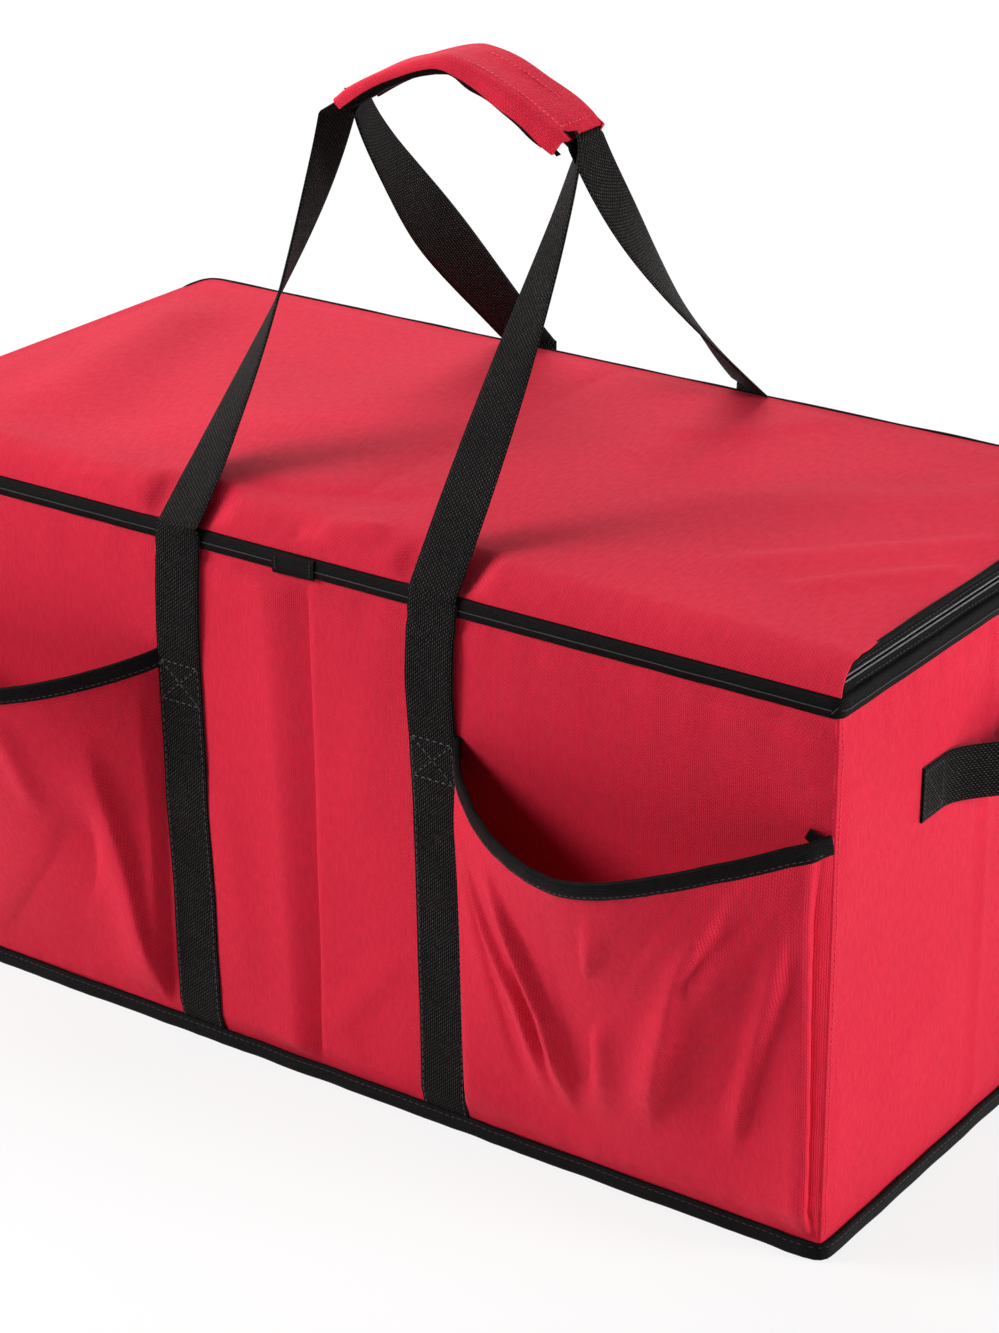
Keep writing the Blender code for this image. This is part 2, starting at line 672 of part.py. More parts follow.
def make_pocket(side, red, black, collection):
    name = "left" if side < 0 else "right"

    def cloth(u, v):
        return pocket_point(side, u, v)

    sheet(f"{name}_pocket", cloth, POCKET_CELLS, POCKET_CLOTH, red, collection)

    half = POCKET_CLOTH / 2 + POCKET_BINDING_CLEARANCE
    outer = half + POCKET_BINDING_THICKNESS
    depth = POCKET_BINDING_HEIGHT
    head = GAP + POCKET_BINDING_THICKNESS
    section = [
        (half, -depth), (outer, -depth), (outer, head), (-outer, head),
        (-outer, -depth), (-half, -depth), (-half, GAP), (half, GAP),
    ]
    stations = []
    step = 1 / POCKET_CELLS[0] / 4
    for i in range(2 * POCKET_CELLS[0] + 1):
        span = 1 - 2 * POCKET_BINDING_END_SHARE
        u = POCKET_BINDING_END_SHARE + span * i / (2 * POCKET_CELLS[0])
        place = cloth(u, 1.0)
        along = (cloth(u + step, 1.0) - cloth(u - step, 1.0)).normalized()
        up = (place - cloth(u, 1 - step)).normalized()
        out = along.cross(up).normalized() * side
        up = out.cross(along).normalized() * side
        stations.append((place, out, up))
    sweep(f"{name}_pocket_binding", stations, section, False, black, collection)


def make_end_handle(side, black, collection):
    """A webbing handle that arches off the end wall between two flat sewn tabs."""
    name = "left" if side < 0 else "right"
    half = END_HANDLE_LENGTH / 2
    free = half - END_HANDLE_TAB
    flat = HALF_WIDTH + GAP + WEBBING_THICKNESS / 2
    places = [Vector((side * flat, -half, END_HANDLE_HEIGHT))]
    for i in range(END_HANDLE_STEPS + 1):
        share = i / END_HANDLE_STEPS
        rise = math.sin(math.pi * share) ** 2
        y = -free + 2 * free * share
        out = flat + (END_HANDLE_STANDOFF - WEBBING_THICKNESS) * rise
        places.append(Vector((side * out, y, END_HANDLE_HEIGHT)))
    places.append(Vector((side * flat, half, END_HANDLE_HEIGHT)))
    made = webbing(f"{name}_end_handle", places, [Z_AXIS] * len(places), black, collection)
    hang(f"{name}_end_handle_pivot", (side * flat, 0, END_HANDLE_HEIGHT), [made])


def main():
    clear_scene()
    collection = bpy.data.collections.new("fabric_storage_tote")
    bpy.context.scene.collection.children.link(collection)
    red = make_material("red_cloth", RED, 0.85)
    webbing_black = make_material("black_webbing", BLACK, 0.70)
    binding_black = make_material("black_binding", BLACK, 0.60)
    zip_black = make_material("zipper_black", ZIP_BLACK, 0.45)
    card = make_material("stiffening_board", CARD, 0.90)
    metal = make_material("painted_zipper_metal", METAL, 0.35, 0.9)

    make_shell(red, card, collection)
    make_base_board(red, collection)
    make_bindings(binding_black, collection)
    lid_pieces = make_zipper(zip_black, collection)
    lid_pieces += make_lid(red, card, collection)
    make_straps(webbing_black, collection)
    front_loop = make_handles(webbing_black, collection)
    wrap_pieces, flap_pieces, fold = make_grip(red, zip_black, collection)
    rim_hinge = (0, -HALF_DEPTH - HINGE_OUT, STRAP_TOP)
    lid_pivot = hang("lid_pivot", rim_hinge, lid_pieces)
    loop_pieces = [front_loop] + wrap_pieces
    front_pivot = hang("front_handle_pivot", rim_hinge, loop_pieces, lid_pivot)
    hang("grip_flap_pivot", fold, flap_pieces, front_pivot)
    for side in (-1, 1):
        make_slider(side, metal, collection)
        make_pocket(side, red, binding_black, collection)
        make_end_handle(side, webbing_black, collection)


main()
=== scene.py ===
"""Looks for the zipped fabric storage tote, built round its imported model.

Metres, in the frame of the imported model: the origin is the centre of the underside, the
front with its two pockets faces -Y, and +X runs to the right along the front.
"""

import math

import bmesh
import bpy
import numpy as np
from mathutils import Matrix, Vector


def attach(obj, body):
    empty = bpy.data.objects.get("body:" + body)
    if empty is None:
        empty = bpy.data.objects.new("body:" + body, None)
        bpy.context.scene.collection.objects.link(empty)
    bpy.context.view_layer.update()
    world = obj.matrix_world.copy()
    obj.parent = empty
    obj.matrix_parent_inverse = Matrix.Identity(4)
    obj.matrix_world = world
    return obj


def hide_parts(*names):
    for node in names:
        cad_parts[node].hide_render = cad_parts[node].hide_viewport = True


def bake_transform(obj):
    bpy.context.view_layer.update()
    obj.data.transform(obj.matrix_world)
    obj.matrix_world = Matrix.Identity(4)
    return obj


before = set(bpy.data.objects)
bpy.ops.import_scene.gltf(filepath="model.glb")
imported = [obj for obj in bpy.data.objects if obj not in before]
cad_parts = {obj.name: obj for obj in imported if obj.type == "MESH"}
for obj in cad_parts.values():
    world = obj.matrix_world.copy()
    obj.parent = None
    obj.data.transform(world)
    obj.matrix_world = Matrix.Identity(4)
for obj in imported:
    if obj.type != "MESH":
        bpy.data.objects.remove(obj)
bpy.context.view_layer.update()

MM = 0.001

# The sewn box, as in the part
BODY_WIDTH = 0.630
BODY_DEPTH = 0.305
BODY_HEIGHT = 0.305
CLOTH = 0.0010
BOARD = 0.0020
LINING = 0.0008
GAP = 0.0003
FLOOR_BINDING_HEIGHT = 0.010
FLOOR_BINDING_THICKNESS = 0.0030
RIM_BINDING_HEIGHT = 0.0105
RIM_BINDING_THICKNESS = 0.0012
RIM_BINDING_TOP = 0.0017
TAPE_THICKNESS = 0.0008
LOWER_TAPE_HEIGHT = 0.0051
UPPER_TAPE_HEIGHT = 0.0050
TAPE_INSET = 0.0012
CHAIN_HEIGHT = 0.0015
CHAIN_THICKNESS = 0.0018
CHAIN_GAP = 0.0012
ZIP_START = 0.0040
LID_CURL = 0.018
LID_CROWN = 0.004
LID_BOARD_INSET = 0.0050
LID_BOARD_FRONT_INSET = 0.0220
WEBBING_WIDTH = 0.030
WEBBING_THICKNESS = 0.0016
STRAP_OFFSET = 0.084
BACK_STRAP_OFFSET = 0.076
SEWN_HEIGHT = 0.226
STRAP_JOG = 0.009
BACK_STANDOFF = 0.0062
BACK_RISE = 0.062
GRIP_LENGTH = 0.143
GRIP_SIDEWAYS = 0.0075
GRIP_DEPTH = 0.038
GRIP_FORWARD = 0.0175
GRIP_END_HEIGHT = 0.506
GRIP_RISE = 0.030
GRIP_CLOTH = 0.0020
GRIP_DROP = 0.0095
GRIP_TUCK = 0.0080
LOOP_GAP = 0.0006
POCKET_CLOTH = 0.0008
POCKET_HEIGHT = 0.230
POCKET_BULGE = 0.065
POCKET_DROOP = 0.025
POCKET_BINDING_THICKNESS = 0.0008
END_HANDLE_LENGTH = 0.145
END_HANDLE_HEIGHT = 0.2245
END_HANDLE_STANDOFF = 0.030
END_HANDLE_TAB = 0.022
POCKET_PEAK_SHARE = 0.49
POCKET_LEFT_ROUNDNESS = 0.70
POCKET_RIGHT_ROUNDNESS = 0.85
POCKET_FILL = 1.15
ARCH_ROUNDNESS = 1.5

# Places worked out from the sizes
HALF_WIDTH = BODY_WIDTH / 2
HALF_DEPTH = BODY_DEPTH / 2
WALL_STACK = CLOTH + GAP + BOARD + GAP + LINING
WALL_FOOT = CLOTH + GAP
WALL_TOP = BODY_HEIGHT - RIM_BINDING_TOP - GAP
SEAM_TOP = FLOOR_BINDING_HEIGHT + GAP
RIM_OUT = GAP + RIM_BINDING_THICKNESS
LOWER_TAPE_FOOT = BODY_HEIGHT + GAP
LOWER_CHAIN_FOOT = LOWER_TAPE_FOOT + LOWER_TAPE_HEIGHT + GAP
UPPER_CHAIN_FOOT = LOWER_CHAIN_FOOT + CHAIN_HEIGHT + CHAIN_GAP
UPPER_TAPE_FOOT = UPPER_CHAIN_FOOT + CHAIN_HEIGHT + GAP
LID_FOOT = UPPER_TAPE_FOOT + UPPER_TAPE_HEIGHT + GAP
STRAP_OUT = GAP + WEBBING_THICKNESS / 2
STRAP_OUT_AT_RIM = RIM_OUT + GAP + WEBBING_THICKNESS / 2
GRIP_TOP_OUT = WEBBING_THICKNESS + GAP + GRIP_CLOTH / 2

# Soft unevenness of the cloth: height in metres (for the hem a share of its own drop), wave
# length, seed and, if not the usual one, the number of waves
UNEVENNESS = {
    "front_slack": (0.0009, 0.19, 3),
    "floor_cloth": (0.0002, 0.15, 5),
    "end_slack": (0.0011, 0.17, 11),
    "back_slack": (0.0011, 0.20, 17),
    "floor_binding": (0.00035, 0.030, 62),
    "rim_binding": (0.00016, 0.040, 63),
    "lid_slack": (0.0011, 0.22, 71),
    "roll_gather": (0.00065, 0.017, 73),
    "roll_corner": (0.0011, 0.008, 74),
    "zipper_tape": (0.00020, 0.05, 81),
    "lid_edge": (0.00025, 0.045, 84),
    "wrap": (0.0008, 0.030, 91),
    "wrap_ends": (0.0007, 0.010, 92),
    "underside": (0.0006, 0.026, 94),
    "flap": (0.0003, 0.030, 95),
    "hem": (0.2, 0.034, 97, 4),
    "pocket": (0.0018, 0.10, 101),
    "pocket_foot": (0.0007, 0.014, 102),
    "pocket_mouth": (0.0006, 0.016, 103),
}

# How finely the cloth is modelled
CLOTH_STEP = 0.0025
BINDING_STEP = 0.0025
WEBBING_STEP = 0.0020
SHARP_TURN = math.radians(50)
UV_NAME = "cloth_metres"

UP = np.array([0.0, 0.0, 1.0])
X_AXIS = np.array([1.0, 0.0, 0.0])
Y_AXIS = np.array([0.0, 1.0, 0.0])

# Camera, as fitted to the photograph
CAMERA_TARGET = Vector((0.122278, -0.1525, 0.273969))
CAMERA_TURN = math.radians(35.492)
CAMERA_RAISE = math.radians(23.497)
CAMERA_ROLL = -0.00709
CAMERA_DISTANCE = 1.684151
CAMERA_LENS = 92.12
CAMERA_SENSOR = 36
CAMERA_FARTHEST = 50


def add_camera():
    """The photograph's camera: its bearing, height, roll and lens."""
    level = math.cos(CAMERA_RAISE)
    back = Vector((math.sin(CAMERA_TURN) * level, -math.cos(CAMERA_TURN) * level,
                   math.sin(CAMERA_RAISE)))
    right = Vector((math.cos(CAMERA_TURN), math.sin(CAMERA_TURN), 0))
    up = back.cross(right)
    rolled_right = right * math.cos(CAMERA_ROLL) + up * math.sin(CAMERA_ROLL)
    rolled_up = up * math.cos(CAMERA_ROLL) - right * math.sin(CAMERA_ROLL)
    camera = bpy.data.objects.new("camera", bpy.data.cameras.new("camera"))
    bpy.context.scene.collection.objects.link(camera)
    turn = Matrix((rolled_right, rolled_up, back)).transposed().to_4x4()
    turn.translation = CAMERA_TARGET + back * CAMERA_DISTANCE
    camera.matrix_world = turn
    camera.data.sensor_width = CAMERA_SENSOR
    camera.data.lens = CAMERA_LENS
    camera.data.clip_end = CAMERA_FARTHEST
    bpy.context.scene.camera = camera


# Small tools on arrays of points

def unit(vectors):
    """The same vectors at length one."""
    return vectors / np.linalg.norm(vectors, axis=-1, keepdims=True)


def ease(share):
    """A share of 0 to 1 with a soft start and end."""
    share = np.clip(share, 0.0, 1.0)
    return share * share * (3 - 2 * share)


def ripples(a, b, length, seed, waves=7):
    """Seeded soft unevenness, about -1 to 1, over two distances in metres."""
    draw = np.random.default_rng(seed)
    total = 0.0
    for _ in range(waves):
        turn, phase = draw.uniform(0, 2 * math.pi, 2)
        span = length * draw.uniform(0.65, 1.5)
        total = total + np.sin(2 * math.pi * (a * math.cos(turn) + b * math.sin(turn)) / span
                               + phase)
    return total / math.sqrt(waves) / 1.3


def uneven(name, a, b):
    """The soft unevenness that one row of the table describes."""
    height, *shape = UNEVENNESS[name]
    return height * ripples(a, b, *shape)


def crease(a, b, start, finish, width, height, other_width=None, fade_share=0.25):
    """A soft fold along a line between two places; its sides may differ in width."""
    run = np.array(finish) - np.array(start)
    length = np.hypot(*run)
    run = run / length
    off_a, off_b = a - start[0], b - start[1]
    share = (off_a * run[0] + off_b * run[1]) / length
    off = off_b * run[0] - off_a * run[1]
    spread = np.where(off > 0, width, other_width or width)
    fade = ease(share / fade_share) * ease((1 - share) / fade_share)
    return height * np.exp(-(off / spread) ** 2) * fade


def creased(values, a, b, table, held=1.0):
    """Values with every crease of a table added, each times how far the cloth is held."""
    for line in table:
        values = values + crease(a, b, *line) * held
    return values


def fold_line(a, b, route, width, height, other_width=None, fade_share=0.22):
    """A soft fold along several places, dying away at its two ends."""
    route = np.asarray(route, float)
    far = distances(route)
    nearest = np.full(np.shape(a), np.inf)
    off, share = np.zeros(np.shape(a)), np.zeros(np.shape(a))
    for start, finish, before, length in zip(route, route[1:], far, np.diff(far)):
        run = (finish - start) / length
        along = np.clip((a - start[0]) * run[0] + (b - start[1]) * run[1], 0, length)
        off_a = a - start[0] - run[0] * along
        off_b = b - start[1] - run[1] * along
        gap = np.hypot(off_a, off_b)
        closer = gap < nearest
        side = np.where(off_b * run[0] - off_a * run[1] > 0, 1.0, -1.0)
        nearest = np.where(closer, gap, nearest)
        off = np.where(closer, gap * side, off)
        share = np.where(closer, (before + along) / far[-1], share)
    spread_off = np.where(off > 0, width, other_width or width)
    fade = ease(share / fade_share) * ease((1 - share) / fade_share)
    return height * np.exp(-(off / spread_off) ** 2) * fade


def soft_floor(values, softness):
    """Values kept above zero with a smooth turn."""
    return (values + np.sqrt(values ** 2 + softness ** 2)) / 2


def distances(points):
    """How far along a route each of its places lies."""
    steps = np.linalg.norm(np.diff(points, axis=0), axis=-1)
    return np.concatenate([[0.0], np.cumsum(steps)])


def along_route(values, far, wanted):
    """Columns of values that are known at some distances, at other distances."""
    return np.stack([np.interp(wanted, far, column) for column in np.transpose(values)], -1)


def spaced(points, spacing):
    """The same route with places at an even spacing."""
    points = np.asarray(points, float)
    far = distances(points)
    count = max(2, int(round(far[-1] / spacing)) + 1)
    wanted = np.linspace(0, far[-1], count)
    return along_route(points, far, wanted)


def evenly(start, finish, spacing):
    """Numbers from start to finish at an even spacing."""
    return spaced([[start], [finish]], spacing)[:, 0]


def oval(half_width, half_height, count):
    """A round closed section."""
    turns = np.linspace(0, 2 * math.pi, count, endpoint=False)
    return np.stack([np.cos(turns) * half_width, np.sin(turns) * half_height], -1)


def rounded_route(corners, radius, steps=6, closed=False):
    """A flat route through corners that turns each one on a small curve."""
    corners = [np.asarray(corner, float) for corner in corners]
    count = len(corners)
    route = []
    for i, corner in enumerate(corners):
        if not closed and i in (0, count - 1):
            route.append(corner)
            continue
        before, after = corners[i - 1], corners[(i + 1) % count]
        start = corner + unit(before - corner) * radius
        finish = corner + unit(after - corner) * radius
        for share in np.linspace(0, 1, steps):
            rest = 1 - share
            route.append(start * rest ** 2 + corner * (2 * rest * share) + finish * share ** 2)
    if closed:
        route.append(route[0])
    return np.array(route)


def ring(corner_radius, height, spacing, outset=0.0):
    """Places round the body and their outward directions, anticlockwise from above."""
    half_x, half_y = HALF_WIDTH + outset, HALF_DEPTH + outset
    corners = [(half_x, -half_y), (half_x, half_y), (-half_x, half_y), (-half_x, -half_y)]
    flat = spaced(rounded_route(corners, corner_radius, closed=True), spacing)[:-1]
    run = unit(np.roll(flat, -1, axis=0) - np.roll(flat, 1, axis=0))
    out = np.stack([run[:, 1], -run[:, 0], np.zeros(len(run))], -1)
    return np.column_stack([flat, np.full(len(flat), height)]), out


def zip_route(height, spacing, corner_radius=0.012):
    """Places round the right end, the back and the left end, with outward directions."""
    front = -HALF_DEPTH + ZIP_START
    corners = [(HALF_WIDTH, front), (HALF_WIDTH, HALF_DEPTH),
               (-HALF_WIDTH, HALF_DEPTH), (-HALF_WIDTH, front)]
    flat = spaced(rounded_route(corners, corner_radius), spacing)
    run = unit(np.gradient(flat, axis=0))
    out = np.stack([run[:, 1], -run[:, 0], np.zeros(len(run))], -1)
    return np.column_stack([flat, np.full(len(flat), height)]), out


def upright(x, y, heights):
    """Places one over the other."""
    return np.stack([np.full_like(heights, x), np.full_like(heights, y), heights], -1)


def folded(route, thickness):
    """The closed section of a tape whose middle follows a route of (out, up) places."""
    route = np.asarray(route, float)
    run = unit(np.gradient(route, axis=0))
    side = np.stack([-run[:, 1], run[:, 0]], -1) * (thickness / 2)
    noses = run[[0, -1]] * (thickness / 2) * np.array([[-1], [1]])
    return np.concatenate([[route[0] + noses[0]], route + side,
                           [route[-1] + noses[1]], (route - side)[::-1]])


def strip_section(width, thickness, steps=10, cup=0.0):
    """A webbing's section: flat faces, rounded edges and, if wanted, a slight cup."""
    across = np.linspace(-width / 2 + thickness / 2, width / 2 - thickness / 2, steps)
    lift = cup * (2 * across / width) ** 2
    return folded(np.stack([across, lift], -1), thickness)


# Making pieces

def place_piece(name, points, faces, corner_uvs, material):
    """A smooth-shaded closed mesh with its cloth distances in metres as texture places."""
    mesh = bpy.data.meshes.new(name)
    mesh.from_pydata(np.asarray(points).reshape(-1, 3).tolist(), [], faces)
    layer = mesh.uv_layers.new(name=UV_NAME)
    layer.data.foreach_set("uv", np.asarray(corner_uvs, float).ravel())
    mesh.materials.append(material)
    mesh.shade_smooth()
    mesh.set_sharp_from_angle(angle=SHARP_TURN)
    solid = bmesh.new()
    solid.from_mesh(mesh)
    inside_out = solid.calc_volume(signed=True) < 0
    solid.free()
    if inside_out:
        mesh.flip_normals()
    piece = bpy.data.objects.new(name, mesh)
    bpy.context.scene.collection.objects.link(piece)
    return piece


def dress(piece, slot, *replaced, body=None, blended=None):
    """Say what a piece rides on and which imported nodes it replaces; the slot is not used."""
    if body:
        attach(piece, body)
    if blended:
        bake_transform(piece)
    if replaced:
        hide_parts(*replaced)
    return piece


def slab(name, points, thickness, material):
    """A closed cloth round a grid of middle points, its face towards rows x columns."""
    rows, columns = points.shape[:2]
    total = rows * columns
    across = np.gradient(points, axis=1)
    along = np.gradient(points, axis=0)
    normal = unit(np.cross(across, along)) * (thickness / 2)
    both = np.concatenate([(points + normal).reshape(-1, 3), (points - normal).reshape(-1, 3)])
    index = np.arange(total).reshape(rows, columns)
    a, b, c, d = index[:-1, :-1], index[:-1, 1:], index[1:, 1:], index[1:, :-1]
    face = np.stack([a, b, c, d], -1).reshape(-1, 4)
    under = np.stack([a, d, c, b], -1).reshape(-1, 4) + total
    rim = np.concatenate([index[0, :], index[1:, -1], index[-1, -2::-1], index[-2:0:-1, 0]])
    after = np.roll(rim, -1)
    sides = np.stack([rim, rim + total, after + total, after], -1)
    faces = np.concatenate([face, under, sides])
    u = distances(points.mean(axis=0))
    v = distances(points.mean(axis=1))
    grid = np.stack(np.meshgrid(u, v), -1).reshape(-1, 2)
    return place_piece(name, both, faces.tolist(), grid[faces.ravel() % total], material)


def sweep(name, places, out, up, section, material, closed=False):
    """Carry a closed section of (out, up) points along places."""
    out, up = np.broadcast_to(out, places.shape), np.broadcast_to(up, places.shape)
    rings = places[:, None] + out[:, None] * section[..., 0:1] + up[:, None] * section[..., 1:2]
    count, size = rings.shape[:2]
    index = np.arange(count * size).reshape(count, size)
    here = index if closed else index[:-1]
    there = np.roll(index, -1, axis=0) if closed else index[1:]
    faces = np.stack([here, np.roll(here, -1, 1), np.roll(there, -1, 1), there], -1)
    loop = np.concatenate([places, places[:1]]) if closed else places
    along = distances(loop)
    first = section if section.ndim == 2 else section[0]
    around = distances(np.concatenate([first, first[:1]]))
    u0, v0 = np.meshgrid(along[:len(here)], around[:-1], indexing="ij")
    u1, v1 = np.meshgrid(along[1:len(here) + 1], around[1:], indexing="ij")
    uvs = np.stack([u0, v0, u0, v1, u1, v1, u1, v0], -1).reshape(-1, 2)
    quads = faces.reshape(-1, 4).tolist()
    if not closed:
        quads += [index[0][::-1].tolist(), index[-1].tolist()]
        uvs = np.concatenate([uvs, np.zeros((2 * size, 2))])
    return place_piece(name, rings, quads, uvs, material)


def ribbon(name, places, facings, section, material):
    """A webbing along places, each width direction made square to the run."""
    run = unit(np.gradient(places, axis=0))
    facings = np.broadcast_to(facings, places.shape)
    width = unit(facings - run * np.sum(facings * run, axis=-1, keepdims=True))
    return sweep(name, places, width, np.cross(run, width), section, material)


STITCH_SIDES = 6


def stitch_run(name, places, out, pitch, material, length_share=0.68, width=0.00055,
               height=0.00035):
    """A row of single stitches along a route, each one a small grain of thread."""
    route = spaced(places, pitch) if pitch else places
    out = np.broadcast_to(out, np.shape(places))
    faces_out = along_route(out, distances(places), distances(route))
    run = unit(np.gradient(route, axis=0))
    middle = (route[:-1] + route[1:]) / 2
    run = run[:-1]
    lift = unit(faces_out[:-1])
    side = np.cross(run, lift)
    half = np.linalg.norm(route[1] - route[0]) * length_share / 2
    turns = np.linspace(0, 2 * math.pi, STITCH_SIDES, endpoint=False)
    grain = [(-half, 0, 0)]
    for reach in (-half * 0.7, half * 0.7):
        grain += [(reach, math.cos(t) * width / 2, math.sin(t) * height) for t in turns]
    grain.append((half, 0, 0))
    grain = np.array(grain)
    points = (middle[:, None] + run[:, None] * grain[:, 0:1] + side[:, None] * grain[:, 1:2]
              + lift[:, None] * grain[:, 2:3])
    one = []
    for i in range(STITCH_SIDES):
        j = (i + 1) % STITCH_SIDES
        first, second = 1 + i, 1 + j
        one.append((0, second, first))
        one.append((first, second, second + STITCH_SIDES, first + STITCH_SIDES))
        one.append((first + STITCH_SIDES, second + STITCH_SIDES, 2 * STITCH_SIDES + 1))
    faces = []
    for k in range(len(middle)):
        faces += [tuple(corner + k * len(grain) for corner in face) for face in one]
    corners = sum(len(face) for face in faces)
    return place_piece(name, points, faces, np.zeros((corners, 2)), material)


# Materials

def new_material(name):
    """A fresh material with its node tree and its shader."""
    made = bpy.data.materials.new(name)
    made.use_nodes = True
    return made, made.node_tree, made.node_tree.nodes["Principled BSDF"]


def calc(tree, operation, first, second=None, third=None):
    """One Math node; each input is a socket or a number."""
    node = tree.nodes.new("ShaderNodeMath")
    node.operation = operation
    for i, value in enumerate((first, second, third)):
        if value is None:
            continue
        if isinstance(value, (int, float)):
            node.inputs[i].default_value = value
        else:
            tree.links.new(value, node.inputs[i])
    return node.outputs[0]


def noise(tree, place, scale, detail=3.0, stretch=(1, 1, 1)):
    """Soft noise over a place, stretched if wanted."""
    mapping = tree.nodes.new("ShaderNodeMapping")
    mapping.inputs["Scale"].default_value = stretch
    tree.links.new(place, mapping.inputs["Vector"])
    node = tree.nodes.new("ShaderNodeTexNoise")
    node.inputs["Scale"].default_value = scale
    node.inputs["Detail"].default_value = detail
    tree.links.new(mapping.outputs[0], node.inputs["Vector"])
    return node.outputs[0]


def cloth_place(tree):
    """The piece's own cloth distances: the pair as a vector, along and across."""
    node = tree.nodes.new("ShaderNodeUVMap")
    node.uv_map = UV_NAME
    parts = tree.nodes.new("ShaderNodeSeparateXYZ")
    tree.links.new(node.outputs[0], parts.inputs[0])
    return node.outputs[0], parts.outputs[0], parts.outputs[1]


def solid_place(tree):
    """The place inside the piece, in metres."""
    node = tree.nodes.new("ShaderNodeTexCoord")
    return node.outputs["Object"]


def blend_colours(tree, share, low, high):
    """A colour between two others; each is a tuple or a socket."""
    node = tree.nodes.new("ShaderNodeMix")
    node.data_type = "RGBA"
    tree.links.new(share, node.inputs["Factor"])
    for socket, colour in (("A", low), ("B", high)):
        target = [s for s in node.inputs if s.name == socket and s.type == "RGBA"][0]
        if isinstance(colour, tuple):
            target.default_value = (*colour, 1.0)
        else:
            tree.links.new(colour, target)
    return [s for s in node.outputs if s.type == "RGBA"][0]


def spread(tree, value, low, high):
    """Carry a value between 0 and 1 to a range of its own."""
    return calc(tree, "MULTIPLY_ADD", value, high - low, low)


def add_bump(tree, shader, height, distance, strength):
    """Fine relief on a shader's surface."""
    node = tree.nodes.new("ShaderNodeBump")
    node.inputs["Distance"].default_value = distance
    node.inputs["Strength"].default_value = strength
    tree.links.new(height, node.inputs["Height"])
    tree.links.new(node.outputs[0], shader.inputs["Normal"])


def cloth_material(name, deep, pale, pitch, roughness, sheen, sheen_tint, relief):
    """Plain-woven cloth: interlaced yarns whose two sets of floats differ in colour as painted
    sheen, painted shade in the gaps between yarns, uneven thread and faint random colour over the
    cloth.
    """
    made, tree, shader = new_material(name)
    place, along, across = cloth_place(tree)
    first = calc(tree, "SINE", calc(tree, "MULTIPLY", along, math.pi / pitch))
    second = calc(tree, "SINE", calc(tree, "MULTIPLY", across, math.pi / pitch))
    crossing_and_sheen = calc(tree, "MULTIPLY", first, second)
    hump_relief_and_light = calc(tree, "POWER", calc(tree, "ABSOLUTE", crossing_and_sheen), 0.6)
    slub = noise(tree, place, 420.0, 2.0, (1.0, 0.35, 1.0))
    wide = noise(tree, solid_place(tree), 9.0, 3.0)
    # Painted light: the two sets of floats are made lighter and darker as sheen would make them,
    # and the gaps between yarns are darker as painted shade; slub and wide add random colour.
    tone_and_painted_light = calc(tree, "MULTIPLY_ADD", crossing_and_sheen, 0.16, 0.30)
    tone_and_painted_light = calc(tree, "MULTIPLY_ADD", hump_relief_and_light, 0.26, tone_and_painted_light)
    tone_and_painted_light = calc(tree, "MULTIPLY_ADD", slub, 0.40, calc(tree, "SUBTRACT", tone_and_painted_light, 0.20))
    tone_and_painted_light = calc(tree, "MULTIPLY_ADD", wide, 0.36, calc(tree, "SUBTRACT", tone_and_painted_light, 0.18))
    clipped = calc(tree, "MINIMUM", calc(tree, "MAXIMUM", tone_and_painted_light, 0.0), 1.0)
    tree.links.new(blend_colours(tree, clipped, deep, pale), shader.inputs["Base Color"])
    rough = spread(tree, slub, roughness + 0.10, roughness - 0.10)
    tree.links.new(rough, shader.inputs["Roughness"])
    height = calc(tree, "MULTIPLY_ADD", slub, 0.35, hump_relief_and_light)
    add_bump(tree, shader, height, relief, 0.8)
    shader.inputs["Sheen Weight"].default_value = sheen
    shader.inputs["Sheen Roughness"].default_value = 0.45
    shader.inputs["Sheen Tint"].default_value = (*sheen_tint, 1.0)
    shader.inputs["Specular IOR Level"].default_value = 0.08
    return made


